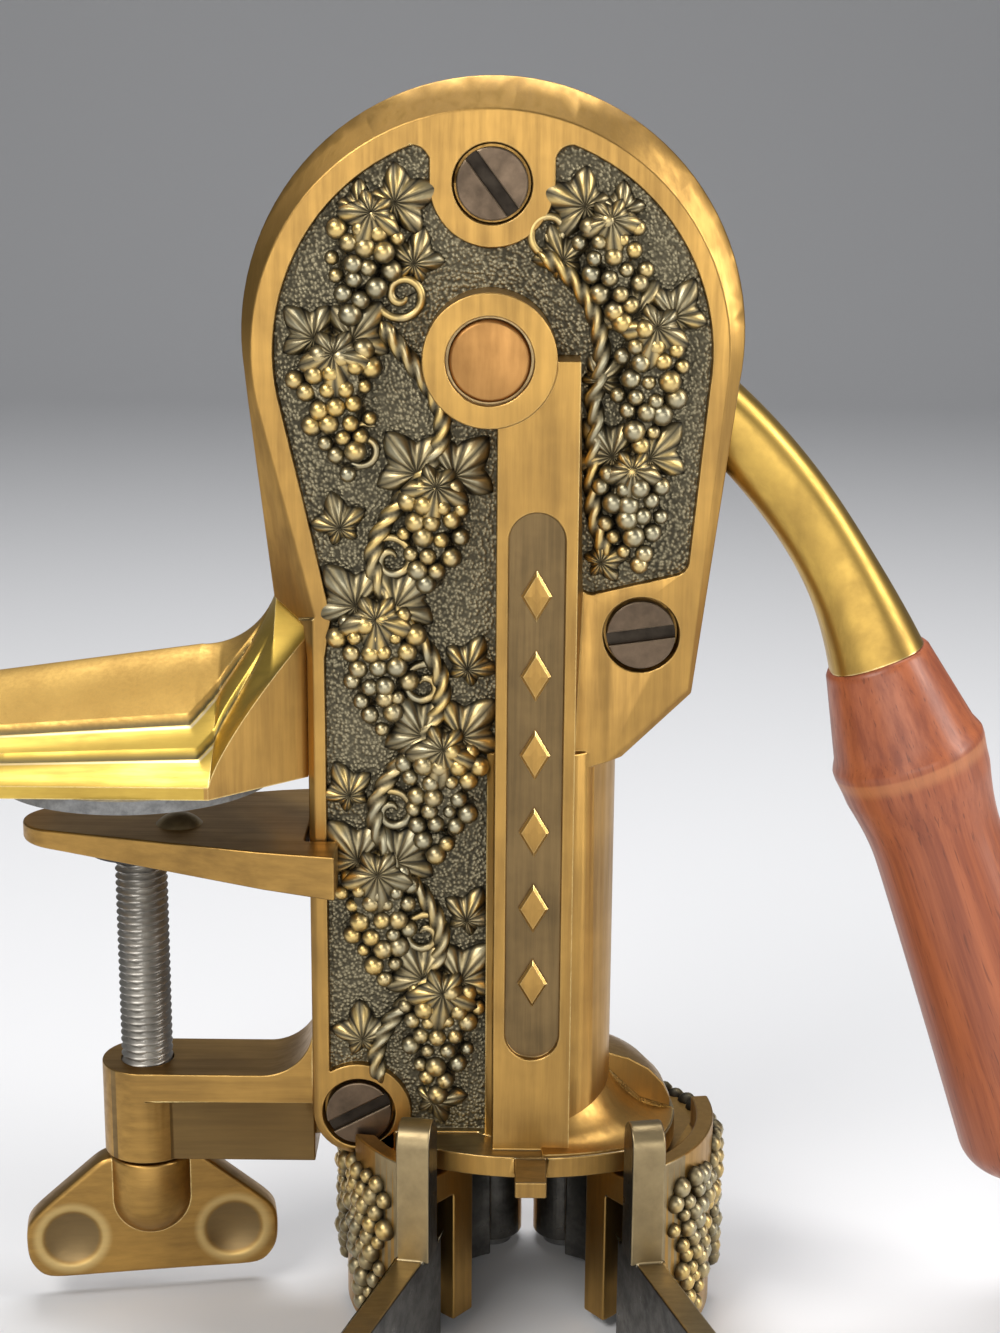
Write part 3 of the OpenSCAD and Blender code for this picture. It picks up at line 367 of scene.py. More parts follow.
def eased(node, width, field=False):
    """The node's own surface, its loose triangles joined into whole faces and its sharp edges rounded by
    width in millimetres. With field, the upper inner corners of its sunk field are rounded too."""
    work = bmesh.new()
    work.from_mesh(frame["nodes"][node].data)
    bmesh.ops.remove_doubles(work, verts=work.verts, dist=1e-6)
    bmesh.ops.dissolve_limit(work, angle_limit=math.radians(0.6), verts=work.verts, edges=work.edges)
    found = cut_corners(work) if field else []
    mesh = bpy.data.meshes.new(node + "_finished")
    work.to_mesh(mesh)
    work.free()
    if found:
        bend_corners(mesh, found)
    piece = bpy.data.objects.new(mesh.name, mesh)
    bpy.context.scene.collection.objects.link(piece)
    mesh.shade_smooth()
    ease = piece.modifiers.new("eased_edges", "BEVEL")
    ease.width = width * mm
    ease.segments = 2
    ease.limit_method = "ANGLE"
    ease.angle_limit = ease_from
    ease.use_clamp_overlap = False
    ease.harden_normals = True
    ease.miter_outer = "MITER_ARC"
    mesh.set_sharp_from_angle(angle=ease_from)
    body = frame["nodes"][node]["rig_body"]
    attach(piece, body)
    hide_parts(node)
    return piece


bronze = metal("brushed_bronze", bronze_light, bronze_dark, brush=(500.0, 500.0, 28.0), patches=35.0,
               bright=bronze_rubbed_and_highlight, dull=0.05)
panel_bronze = metal("panel_bronze", (0.25, 0.165, 0.072), (0.12, 0.082, 0.040), worn=0.45,
                     brush=(700.0, 700.0, 25.0), patches=45.0, bump=0.1, dull=0.08)
worn_bronze = metal("worn_bronze", (0.42, 0.325, 0.175), (0.23, 0.175, 0.095), brush=(160.0, 600.0, 160.0),
                    patches=70.0, bright=(0.72, 0.62, 0.42), bump=0.1, dull=0.06)

# Pebbled ground of the sunk fields: rounded grains a little under a millimetre across, dark between them.
pebbles, tree, shader, where = blank("pebbled_ground")
warp = wire(tree, "TexNoise", in_Vector=where, in_Scale=500.0, in_Detail=2.0).outputs["Color"]
jog = wire(tree, "VectorMath", operation="MULTIPLY_ADD", in_0=warp, in_1=(0.0004,) * 3, in_2=where).outputs[0]
grain = wire(tree, "TexVoronoi", feature="SMOOTH_F1", in_Vector=jog, in_Scale=1250.0,
             in_Smoothness=0.35).outputs["Distance"]
dome = spread(tree, grain, 0.8, 0.15)
cloud = wire(tree, "TexNoise", in_Vector=where, in_Scale=45.0, in_Detail=3.0).outputs[0]
low_tone = mix_colour(tree, spread(tree, cloud, 0.35, 0.65), (0.062, 0.054, 0.037, 1),
                      (0.105, 0.091, 0.060, 1))
tree.links.new(mix_colour(tree, dome, low_tone, (0.30, 0.26, 0.165, 1)), shader.inputs["Base Color"])
shader.inputs["Metallic"].default_value = 1.0
tree.links.new(spread(tree, dome, 0.0, 1.0, 0.60, 0.46), shader.inputs["Roughness"])
tree.links.new(wire(tree, "Bump", in_Strength=0.6, in_Distance=0.0004, in_Height=dome).outputs[0],
               shader.inputs["Normal"])

# The solids' low relief shares the ground's finish. Each bunch, given by its place from the pivot, its lean
# in degrees and its size, stands on three round cores, and each leaf beside a bunch on one.
bunches = np.array([(-10, -145, -3, 1.0), (-24.5, -117, 4, 1.0), (-10, -88, -3, 1.0), (-24.5, -59, 4, 1.0),
                    (-11.5, -30, -5, 0.9), (-33, -2, 7, 0.97), (-25, 27, -14, 0.85), (24.5, 26, 12, 0.82),
                    (34.5, 4, -6, 0.92), (30, -26, 4, 0.8)])
leaf_spots = np.array([(-14.2, -140), (-5.8, -140.3), (-28.7, -112), (-20.3, -112.3), (-14.2, -83),
                       (-5.8, -83.3), (-28.7, -54), (-20.3, -54.3), (-15.5, -25), (-7.5, -25.5), (-37, 3.5),
                       (-29, 3.2), (-20, 31.5), (19.5, 31), (30.5, 9), (38.3, 8.5), (26, -21), (34, -21.3)])
bunch_l, bunch_w, leaf_core_r = 27.0, 17.0, 5.3
bunch_u, bunch_v, bunch_lean, bunch_size = bunches.T
nth = np.arange(3)[:, None]
core_down = bunch_l * bunch_size * (0.14 + 0.29 * nth)
cores = np.stack([bunch_u + core_down * np.sin(np.radians(bunch_lean)),
                  bunch_v - core_down * np.cos(np.radians(bunch_lean)),
                  bunch_w * bunch_size * (0.45 - 0.095 * nth) + 0.3], axis=2).reshape(-1, 3)
cores = np.concatenate([cores, np.column_stack([leaf_spots, np.full(len(leaf_spots), leaf_core_r)])])

for half, front in (("front_cover", -1.0), ("rear_housing", 1.0)):
    casting = eased(half, casting_ease, field=True)
    centre, normal = faces_of(casting.data)
    facing = normal[:, 1] * front > 0.95
    depth = centre[:, 1] * front
    away = np.hypot(*(centre[:, None, [0, 2]] - pivot[[0, 2]] / mm - cores[None, :, :2]).transpose(2, 0, 1))
    on_core = (away < cores[:, 2]).any(axis=1) & (depth > field_depth - 0.1) & (abs(depth - rim_depth) > 0.05)
    ground = facing & (abs(depth - field_depth) < 0.1) | on_core & (front < 0)
    panel = facing & (abs(depth - panel_depth) < 0.1)
    flange = (normal[:, 2] > 0.9) & (abs(centre[:, 2] - flange_top) < 0.4)
    chosen = np.where(flange, 3, np.where(ground, 1, np.where(panel, 2, 0)))
    dress(casting, [bronze, pebbles, panel_bronze, worn_bronze], chosen)


# Vine relief on both sunk fields: a rope stem that swings from side to side, with five-lobed leaves, curled
# tendrils and hanging bunches of grapes. It is cast in bronze in one with the halves. Its tops are rubbed
# bright and its hollows stay dark.
def tube(loops):
    """Patch of a row of closed loops of points, shape (loops,
    points, 3), shut at both ends at the loops' middles."""
    first, last = (loops[i].mean(axis=0, keepdims=True).repeat(loops.shape[1], 0)[None] for i in (0, -1))
    full = np.concatenate([first, loops, last])
    return full.reshape(-1, 3), quads(full.shape[0], full.shape[1], closed=True)


def capped(values):
    """The values of a tube's points, with those of the first and last loop once more for the shut ends."""
    return np.concatenate([values[:1], values, values[-1:]]).reshape(-1)


def along(path, step):
    """Points at even distances along a line of points, with the unit tangents and the distances."""
    gaps = np.linalg.norm(np.diff(path, axis=0), axis=1)
    so_far = np.concatenate([[0], np.cumsum(gaps)])
    at = np.linspace(0, so_far[-1], max(4, int(so_far[-1] / step)))
    points = np.stack([np.interp(at, so_far, path[:, k]) for k in range(path.shape[1])], axis=1)
    tangent = np.gradient(points, axis=0)
    return points, tangent / np.linalg.norm(tangent, axis=1, keepdims=True), at


def rope(path, thick, height, twist=0.0, sides=16):
    """A rope along a line (u, v), its middle at height over the field: a round of radius thick whose surface
    swells and sinks three times around, turned by twist radians a millimetre, and thinned towards both ends.
    Without twist it is a plain round."""
    points, tangent, at = along(path, 0.4)
    turn = np.linspace(0, 2 * np.pi, sides, endpoint=False)
    strand = np.full((len(at), sides), 0.8)
    if twist:
        strand = abs(np.sin(1.5 * turn - twist * at[:, None] / 2))
    ends = np.clip(np.minimum(at, at[-1] - at) / 2.5, 0.05, 1) ** 0.5
    radius = thick * (0.68 + 0.40 * strand) * ends[:, None]
    side = np.stack([-tangent[:, 1], tangent[:, 0]], axis=1)
    flat = points[:, None] + side[:, None] * (radius * np.cos(turn))[..., None]
    up = height + radius * np.sin(turn)
    lift = np.clip(0.2 + 0.4 * np.sin(turn)[None] + 0.8 * (strand - 0.5), 0, 1)
    return tube(np.concatenate([flat, up[..., None]], axis=2)), capped(lift)


def leaf(u, v, heading, length, height=0.6, sides=90):
    """A leaf of five pointed lobes: the rim's distance from the middle follows a five-toothed wave, longest
    at the tip. The face is domed, pleated fifteen times around and closed underneath by a flat skirt."""
    angle = np.linspace(-np.pi, np.pi, sides, endpoint=False)
    wave = 1 - 2 * abs((angle / np.radians(72) + 0.5) % 1 - 0.5)
    rim = length * (0.75 + 0.25 * np.cos(angle)) * (0.60 + 0.40 * wave ** 1.1)
    out = np.linspace(0.02, 1, 10)[:, None]
    pleat = abs(np.sin(7.5 * angle)) ** 0.8
    domed = 1.7 * (1 - out ** 2.2)
    lobed = 1.2 * wave * out * (1.4 - out)
    up = height + domed + lobed + 0.9 * pleat * out ** 0.5 * (1.25 - out)
    lift = np.clip(0.12 + 0.8 * pleat * out ** 0.4 + 0.25 * wave * out - 0.45 * out ** 5, 0, 1)
    out = np.concatenate([out, [[1.0]], [[0.02]]])
    up = np.concatenate([up, np.full((2, sides), -0.3)])
    lift = np.concatenate([lift, np.zeros((2, sides))])
    way = angle + np.radians(heading)
    loops = np.stack([u + out * rim * np.cos(way), v + out * rim * np.sin(way), up], axis=2)
    return tube(loops), capped(lift)


chance = np.random.default_rng(7)
ball_turn, ball_fall = np.meshgrid(np.linspace(0, 2 * np.pi, 10, endpoint=False), np.linspace(0, np.pi, 7))
ball = np.stack([np.sin(ball_fall) * np.cos(ball_turn), np.sin(ball_fall) * np.sin(ball_turn),
                 np.cos(ball_fall)], axis=2).reshape(-1, 3)
ball_faces = quads(7, 10, closed=True)


def balls(middles, radii):
    """One patch of many round grapes: the same ball of ten sides and six bands, moved and scaled to each
    place. Its lift grows towards the ball's top."""
    points = middles[:, None] + radii[:, None, None] * ball[None]
    faces = (np.arange(len(middles))[:, None, None] * len(ball) + ball_faces[None]).reshape(-1, 4)
    return (points.reshape(-1, 3), faces), np.tile(np.clip(0.1 + 0.9 * ball[:, 2], 0, 1), len(middles))


def bunch(length, width, size):
    """Places (across, down, height) and radii of the grapes of a bunch: staggered rows that swell and then
    narrow to one grape, each grape standing higher the nearer it is to the bunch's middle line."""
    row_gap, grape_gap = 1.6 * size, 1.85 * size
    rows = int(length / row_gap) + 1
    spots = []
    for i in range(rows):
        part = i / (rows - 1)
        half = 0.5 * width * np.interp(part, [0, 0.18, 0.5, 0.8, 1], [0.7, 1, 0.84, 0.52, 0.2])
        odd = (rows - i) % 2
        count = max(1, 2 * round((2 * half / grape_gap - odd) / 2) + odd)
        places = (np.arange(count) - (count - 1) / 2) * grape_gap
        dome = np.sqrt(np.clip(1 - 0.85 * (places / max(half, 0.1)) ** 2, 0, 1))
        height = 1.3 + (2.7 - 0.6 * part) * dome
        spots.append(np.stack([places, np.full(count, 2.0 - i * row_gap), height], axis=1))
    spots = np.concatenate(spots)
    spots += chance.normal(0, 0.19 * size, spots.shape) * np.array([1, 1, 0.6])
    return spots, size * chance.uniform(0.74, 1.2, len(spots))


# The places are (u, v) from the pivot. Leaves and sprigs have a heading in degrees and a length, curls a
# heading and the hand in which they wind.
grape_r, stem_r, stem_h, stem_lay, curl_r, curl_h = 2.2, 1.95, 1.5, 4.6, 0.95, 1.1
leaf_turns = [(128, 11), (48, 11)] * 5 + [(135, 9), (52, 10), (20, 10), (160, 10), (128, 10), (60, 9),
                                          (128, 10), (48, 10)]
sprigs = [(-28, -155, 95, 9), (-4.5, -126, 65, 8), (-30.5, -97, 115, 8), (-4.5, -68, 65, 8),
          (-32, -37, 105, 8), (-16, 19, 75, 8), (15, 20, 110, 8), (23, -5, 40, 7), (-12, -170, 5, 8),
          (24, -44, 20, 7), (-27, 30, 95, 6.5), (27, 30, 85, 6.5)]
curls = [(-18.5, 12.5, 200, 1), (12.5, 25.5, -30, -1), (-14, -130, 20, 1), (-21, -101, 160, -1),
         (-14, -72, 20, 1), (-21, -44, 160, -1), (-27, -20.0, 60, 1)]
climb_v = np.linspace(-166, 7, 200)
swing_u = -17.5 - 7.5 * np.cos(2 * np.pi * (climb_v + 160) / 58)
sweep_a = np.radians(np.linspace(66, -22, 60))
around_boss = 23.5 * np.stack([np.cos(sweep_a), np.sin(sweep_a)], axis=1)
stems = [np.stack([swing_u, climb_v], axis=1),
         np.concatenate([around_boss, np.array([[22.6, -14], [21.8, -24], [22.4, -34], [25.5, -43]])])]

leaves, grapes = [], []
vines = [rope(stem, stem_r, stem_h, 2 * np.pi / stem_lay) for stem in stems]
for u, v, heading, hand in curls:
    wind = np.linspace(0, 1, 70)
    around = np.radians(heading) + hand * wind * 4.2 * np.pi / 1.5
    arm = 4.6 * (1 - wind) + 0.9
    spiral = np.stack([u + arm * np.cos(around), v + arm * np.sin(around)], axis=1)
    vines.append(rope(spiral, curl_r, curl_h))
for u, v, lean, size in bunches:
    spots, radii = bunch(bunch_l * size, (bunch_w + 1.5) * size, grape_r)
    cos_lean, sin_lean = math.cos(math.radians(lean)), math.sin(math.radians(lean))
    spots = np.stack([u + spots[:, 0] * cos_lean - spots[:, 1] * sin_lean,
                      v + spots[:, 0] * sin_lean + spots[:, 1] * cos_lean, spots[:, 2]], axis=1)
    grapes.append(balls(spots, radii))
    leaves.append(leaf(u + 0.3, v + 2.6, -95 + lean, 10.5 * size, 3.7))
leaves += [leaf(*spot, heading, length, 1.0) for spot, (heading, length) in zip(leaf_spots, leaf_turns)]
leaves += [leaf(*sprig) for sprig in sprigs]

# Relief metal: the kept lift value runs from the dark hollows to the
# rubbed tops, golden in some patches and grey with patina in others.
relief_metal, tree, shader, where = blank("relief_bronze")
kept_lift = wire(tree, "Attribute", attribute_name="lift").outputs["Fac"]
cloud = wire(tree, "TexNoise", in_Vector=where, in_Scale=260.0, in_Detail=4.0, in_Roughness=0.6).outputs[0]
stray = math_node(tree, "MULTIPLY", math_node(tree, "SUBTRACT", cloud, 0.5), 0.5)
raised = math_node(tree, "ADD", kept_lift, stray, clamp=True)
body_tone = mix_colour(tree, spread(tree, raised, 0.05, 0.55), (0.045, 0.040, 0.029, 1),
                       (0.215, 0.175, 0.098, 1))
patina = wire(tree, "TexNoise", in_Vector=where, in_Scale=75.0, in_Detail=2.0).outputs[0]
top_tone = mix_colour(tree, spread(tree, patina, 0.40, 0.62), (0.70, 0.50, 0.185, 1), (0.40, 0.36, 0.24, 1))
tree.links.new(mix_colour(tree, spread(tree, raised, 0.5, 0.95), body_tone, top_tone),
               shader.inputs["Base Color"])
tree.links.new(spread(tree, raised, 0.2, 0.9, 0.55, 0.36), shader.inputs["Roughness"])
shader.inputs["Metallic"].default_value = 1.0
tree.links.new(wire(tree, "Bump", in_Strength=0.15, in_Distance=0.0003, in_Height=cloud).outputs[0],
               shader.inputs["Normal"])

for face, side in (("front", -1.0), ("rear", 1.0)):
    for kind, made in (("vines", vines), ("leaves", leaves), ("grapes", grapes)):
        patches = [(np.stack([pivot[0] + p[:, 0] * mm, side * (field_depth + p[:, 2]) * mm,
                              pivot[2] + p[:, 1] * mm], axis=1), f) for (p, f), _ in made]
        piece = skin(face + "_" + kind, patches, lift=np.concatenate([lift for _, lift in made]))
        dress(piece, [relief_metal])
        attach(piece, "frame")


# Strip panel: a row of six raised lozenges on the sunk panel of the front strip. They are bronze, cast in
# one with the front half, with upright sides and a bevelled top.
panel_x, lozenge_half_w, lozenge_half_h = pivot_x + 10.3, 3.3, 5.6
lozenge = np.array([[1, 0], [0.5, 0.5], [0, 1], [-0.5, 0.5], [-1, 0], [-0.5, -0.5], [0, -1], [0.5, -0.5]])
lozenge_steps = [(1.0, -0.3), (1.0, 0.7), (0.82, 1.15), (0.30, 1.3)]
stones = []
for z in np.linspace(pivot_z - 50, pivot_z - 138, 6):
    loops = [np.stack([panel_x + lozenge_half_w * scale * lozenge[:, 0], np.full(8, -panel_depth - high),
                       z + lozenge_half_h * scale * lozenge[:, 1]], axis=1) for scale, high in lozenge_steps]
    stones.append(tube(np.stack(loops) * mm))
piece = skin("panel_lozenges", stones, smooth=False)
dress(piece, [bronze])
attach(piece, "frame")


# Flange flare: the front half's sweep from the column out to the flange's edge, cast in one with it in
# bronze. It is highest at the column's side and lower towards the front.
edge_arc_r, edge_arc_back, edge_margin, flare_most = 58.0, 31.5, 0.8, 33.6
flare_in, flare_root, flare_rise, flare_turns = 18.0, 17.6, 10.0, 40
# Around the column, the sweep starts at the flange's edge, an arc about a point behind the column, or at its
# widest radius, and rises towards the column with the power 2.6 of the way in.
flare_a = np.radians(np.linspace(-84, -0.4, flare_turns))
behind = edge_arc_back * np.sin(-flare_a)
to_edge = np.sqrt(edge_arc_r ** 2 - edge_arc_back ** 2 + behind ** 2) - behind - edge_margin
edge_r = np.minimum(flare_most, to_edge)[:, None]
rise_h = flare_rise * (1 - 0.7 * np.clip(-flare_a / np.radians(84), 0, 1))[:, None]
part = np.linspace(0, 1, 14)
reach = np.concatenate([edge_r + (flare_in - edge_r) * part, np.full((flare_turns, 1), flare_root), edge_r],
                       axis=1)
height = np.concatenate([0.4 + rise_h * part ** 2.6, np.full((flare_turns, 2), -0.6)], axis=1)
loops = np.stack([column_x + reach * np.cos(flare_a)[:, None], reach * np.sin(flare_a)[:, None],
                  flange_top + height], axis=2) * mm
flare = skin("flange_flare", [tube(loops)])
flare.data.set_sharp_from_angle(angle=math.radians(40))
dress(flare, [bronze])
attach(flare, "frame")


# Cover screws: three slotted cheese-head screws that hold the two halves together, turned from steel and
# browned, with rubbed edges. Each head is a round of two half caps with the slot between them.
head_r, slot_half, slot_depth, head_depth = 7.5, 1.35, 12.8, 14.2
head_steps = np.array([(0, slot_depth - 0.2), (0, head_depth - 0.35), (0.12, head_depth - 0.1),
                       (0.35, head_depth)])
browned = metal("browned_steel", (0.17, 0.120, 0.080), (0.080, 0.058, 0.040), worn=0.45, brush=(300.0,) * 3,
                patches=120.0, bright=(0.50, 0.39, 0.25), bump=0.05, radius=0.0004, dull=0.08)
slot_floor = metal("slot_floor", (0.060, 0.048, 0.036), (0.025, 0.020, 0.016), worn=0.45, brush=(300.0,) * 3,
                   patches=120.0, dull=0.2)
head_turn = np.linspace(0, 2 * np.pi, 60, endpoint=False)
base_depth = np.array([[head_depth - 4], [slot_depth]])
cap_r, cap_off = head_r - head_steps[:, :1], slot_half + head_steps[:, :1]
cap_a = np.arcsin(cap_off / cap_r) + (np.pi - 2 * np.arcsin(cap_off / cap_r)) * np.linspace(0, 1, 40)
parts = [(cap_r * np.cos(cap_a), hand * cap_r * np.sin(cap_a), head_steps[:, 1:] + 0 * cap_a)
         for hand in (1, -1)]
parts.append((head_r * np.cos(head_turn) + 0 * base_depth, head_r * np.sin(head_turn) + 0 * base_depth,
              base_depth + 0 * head_turn))
heads = []
for u, v, slot in ((0.2, 35.4, -53), (33.1, -60.1, 8), (-29.0, -173.4, 28)):
    along_slot = np.array([math.cos(math.radians(slot)), math.sin(math.radians(slot))])
    across_slot = np.array([-along_slot[1], along_slot[0]])
    for a, b, depth in parts:
        flat = np.array([u, v]) + a[..., None] * along_slot + b[..., None] * across_slot
        heads.append(tube(np.stack([pivot[0] + flat[..., 0] * mm, -depth * mm, pivot[2] + flat[..., 1] * mm],
                                   axis=2)))
screws = skin("slotted_heads", heads)
screws.data.set_sharp_from_angle(angle=math.radians(15))
centre, _ = faces_of(screws.data)
dress(screws, [browned, slot_floor], abs(centre[:, 1] + slot_depth) < 0.05)
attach(screws, "frame")
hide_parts("cover_screws")


# Lever shaft: a turned steel pin that carries the lever in two
# bushes. Its end shows in the ring boss and has a coppery finish.
copper = metal("coppery_end", (0.47, 0.245, 0.080), (0.29, 0.145, 0.048), brush=(400.0, 400.0, 60.0),
               patches=60.0, bright=(0.78, 0.52, 0.25), dull=0.1)
shaft = eased("lever_shaft", 0.2)
dress(shaft, [copper])


# Lever arm: a curved bronze casting with its hub and the rocker inside the head, pinned to the shaft. The
# arm outside is drawn smooth and opens to a round end at the grip.
arm_bronze = metal("arm_bronze", (0.58, 0.375, 0.090), (0.28, 0.175, 0.050), worn=0.55,
                   brush=(120.0, 700.0, 120.0), patches=30.0, bright=(0.8, 0.62, 0.3), dull=0.05)
bend, bend_r, bend_root, bend_tip = np.array([-41.39, -115.32]), 136.5, 49.3, 20.5
sleeve_half_w, sleeve_half_t, sleeve_end_r, sleeve_taper = 7.9, 6.75, 10.7, 3.5 / 22.0
lever = eased("lever_arm", 0.3)
dress(lever, [arm_bronze])
# Where the sleeve covers the copied casting, its points are drawn in by a quarter towards the bend's line.
core = points_of(lever.data)
from_bend = (core - pivot)[:, [0, 2]] / mm - bend
core_a, core_r = np.degrees(np.arctan2(from_bend[:, 1], from_bend[:, 0])), np.hypot(*from_bend.T)
covered = (core_a > bend_tip - 0.2) & (core_a < bend_root + 4) & (abs(core_r - bend_r) < 12)
closer = np.where(covered, 0.75, 1.0)
nearer = (bend_r + (core_r - bend_r) * closer) / core_r
core[:, [0, 2]] = pivot[[0, 2]] + (bend + from_bend * nearer[:, None]) * mm
core[:, 1] *= closer
lever.data.vertices.foreach_set("co", core.ravel())
lever.data.update()
# The sleeve is an oval carried along the bend. Its half widths go smoothly over into the round end, by the
# eighth power mean of the two.
sleeve_a = np.radians(np.linspace(bend_root, bend_tip, 70))
line = bend + bend_r * np.stack([np.cos(sleeve_a), np.sin(sleeve_a)], axis=1)
line = np.concatenate([line[:1] * np.array([[0.8], [0.9]]), line])
points, tangent, at = along(line, 0.9)
flared = np.clip(sleeve_end_r - sleeve_taper * (at[-1] - at), 0, None)
widened = lambda base: ((base ** 8 + flared ** 8) ** (1 / 8))[:, None]
oval = lambda c: np.sign(c) * abs(c) ** 0.8
turn = np.linspace(0, 2 * np.pi, 48, endpoint=False)
side = np.stack([-tangent[:, 1], tangent[:, 0]], axis=1)
flat = points[:, None] + side[:, None] * (widened(sleeve_half_w) * oval(np.cos(turn)))[..., None]
loops = np.stack([pivot[0] + flat[..., 0] * mm, widened(sleeve_half_t) * oval(np.sin(turn)) * mm,
                  pivot[2] + flat[..., 1] * mm], axis=2)
sleeve = skin("lever_sleeve", [tube(loops)])
sleeve.data.set_sharp_from_angle(angle=math.radians(50))
dress(sleeve, [arm_bronze])
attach(sleeve, "lever")


# Grip: turned from a red-brown hardwood and oiled, with a collar, a sharp ridge and a swollen lower end. A
# steel tang through it holds it to the arm.
grip_base, grip_turn, grip_r = np.array([165.97, 0.0, 28.98]), math.radians(-69.5), 17.5
part = np.linspace(0, 1, 60)
waist = 0.115 * np.sin(np.minimum(np.pi / 2, 3 * np.pi * part))
swell = grip_r * (0.96 - waist + 0.16 * (np.maximum(0, part - 0.17) / 0.83) ** 1.2)
dome_a = np.radians(np.linspace(6, 88, 16))
radius = np.concatenate([[9.0, 10.7, 11.4, 12.0], np.linspace(12.2, 15.9, 12),
                         [16.3, 17.2, 17.48, 17.5, 17.5, 17.35, 17.0], swell, swell[-1] * np.cos(dome_a)])
reach = np.concatenate([[0, 0, 0.3, 1.2], np.linspace(2.2, 18.6, 12),
                        [20.4, 22.3, 23.0, 23.5, 24.6, 25.6, 28.2], 31 + 89 * part,
                        120 + 13 * np.sin(dome_a)])
turn = np.linspace(0, 2 * np.pi, 96, endpoint=False)
axis = np.array([math.cos(grip_turn), 0, math.sin(grip_turn)])
side = np.array([-math.sin(grip_turn), 0, math.cos(grip_turn)])
loops = (grip_base + reach[:, None, None] * axis + radius[:, None, None]
         * (np.cos(turn)[:, None] * side + np.sin(turn)[:, None] * np.array([0, 1.0, 0]))) * mm
grip = skin("turned_grip", [tube(loops)])
grip.data.set_sharp_from_angle(angle=math.radians(50))
wood, tree, shader, where = blank("oiled_wood")
laid = wire(tree, "Mapping", in_Vector=where, in_Rotation=(0, grip_turn, 0)).outputs[0]
stretched = wire(tree, "VectorMath", operation="MULTIPLY", in_0=laid, in_1=(13.0, 430.0, 430.0)).outputs[0]
grain = wire(tree, "TexNoise", in_Vector=stretched, in_Scale=1.0, in_Detail=6.0, in_Roughness=0.62,
             in_Distortion=0.1).outputs[0]
fine = wire(tree, "VectorMath", operation="MULTIPLY", in_0=laid, in_1=(110.0, 1700.0, 1700.0)).outputs[0]
pores = wire(tree, "TexNoise", in_Vector=fine, in_Scale=1.0, in_Detail=2.0).outputs[0]
tone = mix_colour(tree, spread(tree, grain, 0.25, 0.75), (0.215, 0.050, 0.019, 1), (0.385, 0.110, 0.040, 1))
tone = mix_colour(tree, spread(tree, pores, 0.6, 0.72, 0.0, 0.55), tone, (0.095, 0.022, 0.010, 1))
run_down = wire(tree, "VectorMath", operation="DOT_PRODUCT", in_0=where, in_1=tuple(axis)).outputs["Value"]
run_down = math_node(tree, "SUBTRACT", run_down, float(grip_base @ axis) * mm)
ridge = math_node(tree, "MULTIPLY", spread(tree, run_down, 24.0 * mm, 24.7 * mm),
                  spread(tree, run_down, 28.5 * mm, 25.8 * mm))
tone = mix_colour(tree, math_node(tree, "MULTIPLY", ridge, 0.5), tone, (0.50, 0.20, 0.075, 1))
tree.links.new(tone, shader.inputs["Base Color"])
tree.links.new(spread(tree, grain, 0.3, 0.7, 0.46, 0.34), shader.inputs["Roughness"])
shader.inputs["Coat Weight"].default_value = 0.12
shader.inputs["Coat Roughness"].default_value = 0.3
tree.links.new(wire(tree, "Bump", in_Strength=0.12, in_Distance=0.0002,
                    in_Height=math_node(tree, "SUBTRACT", grain, pores)).outputs[0], shader.inputs["Normal"])
dress(grip, [wood])
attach(grip, "lever")
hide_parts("grip")


# Table arm: the clamp's fixed upper jaw, a crowned bronze casting with two
# steps along each side that turn in towards the root, where the arm sweeps
# up to the head. A painted shadow darkens the foot of each step's wall, and
# a painted highlight lightens a line just outside it.
arm_tip, arm_end, arm_half, turn_x = -38.0, 39.75, 30, 20
root_x, root_half, slant_l = 39.8, 12, 26.76
edge_h, edge_gain, crown_h, crown_slope, arm_under = 5.8, 29.2, 22.7, 0.1414, 3.0
bowl_x, bowl_z, bowl_r, bowl_l = 15.4, 47.5, 17.3, 16.9
step_lines, step_h, step_w, step_wall = (8.5, 14.5), 1.5, 5.0, 0.45
fade_from, fade_l, slope_from, slope_z, slope_run, slope_drop = 22, 11, 32.3, 42.4, 6.8, 5
span = np.linspace(arm_tip, arm_end, 170)
share = np.linspace(-1, 1, 181)
half = np.interp(span, [arm_tip, -34, turn_x, root_x], [26, arm_half, arm_half, root_half])
x, y = span[:, None] + 0 * share, half[:, None] * share


def inside_of(ax, ay):
    """How far a place lies inside the arm's outline: the
    nearer of its straight side and its slanted root."""
    from_side = arm_half - abs(ay)
    slant = ((turn_x - ax) * (arm_half - root_half) + from_side * (root_x - turn_x)) / slant_l
    return np.minimum(from_side, slant)


# The top is a height over the length and the share of the half width: a crown line, which climbs evenly and
# then follows a bowl up to the head, eased down to the edge line, less the steps and under the root's slope.
# A step drops at its wall, comes back to the top within its width and fades out at the root.
steep = np.clip((span - turn_x) / (root_x - turn_x), 0, 1)[:, None]
edge_z = edge_h + edge_gain * steep ** 0.75
bowl = bowl_z - np.sqrt(np.clip(bowl_r ** 2 - np.clip(span - bowl_x, 0, bowl_l) ** 2, 0, None))
crown_z = np.where(span < bowl_x, crown_h + (span - arm_tip) * crown_slope, bowl)[:, None]
t = 1 - abs(share)
z = edge_z + (crown_z - edge_z) * (0.35 * t + 0.65 * (3 * t ** 2 - 2 * t ** 3))
gone = np.clip((x - fade_from) / fade_l, 0, 1)
fade = 1 - gone ** 2 * (3 - 2 * gone)
inside = inside_of(x, y)
# The step light is a half where nothing is painted. It is lower at a painted shadow and higher at a painted
# highlight.
painted_step_light = 0.5 + 0 * z
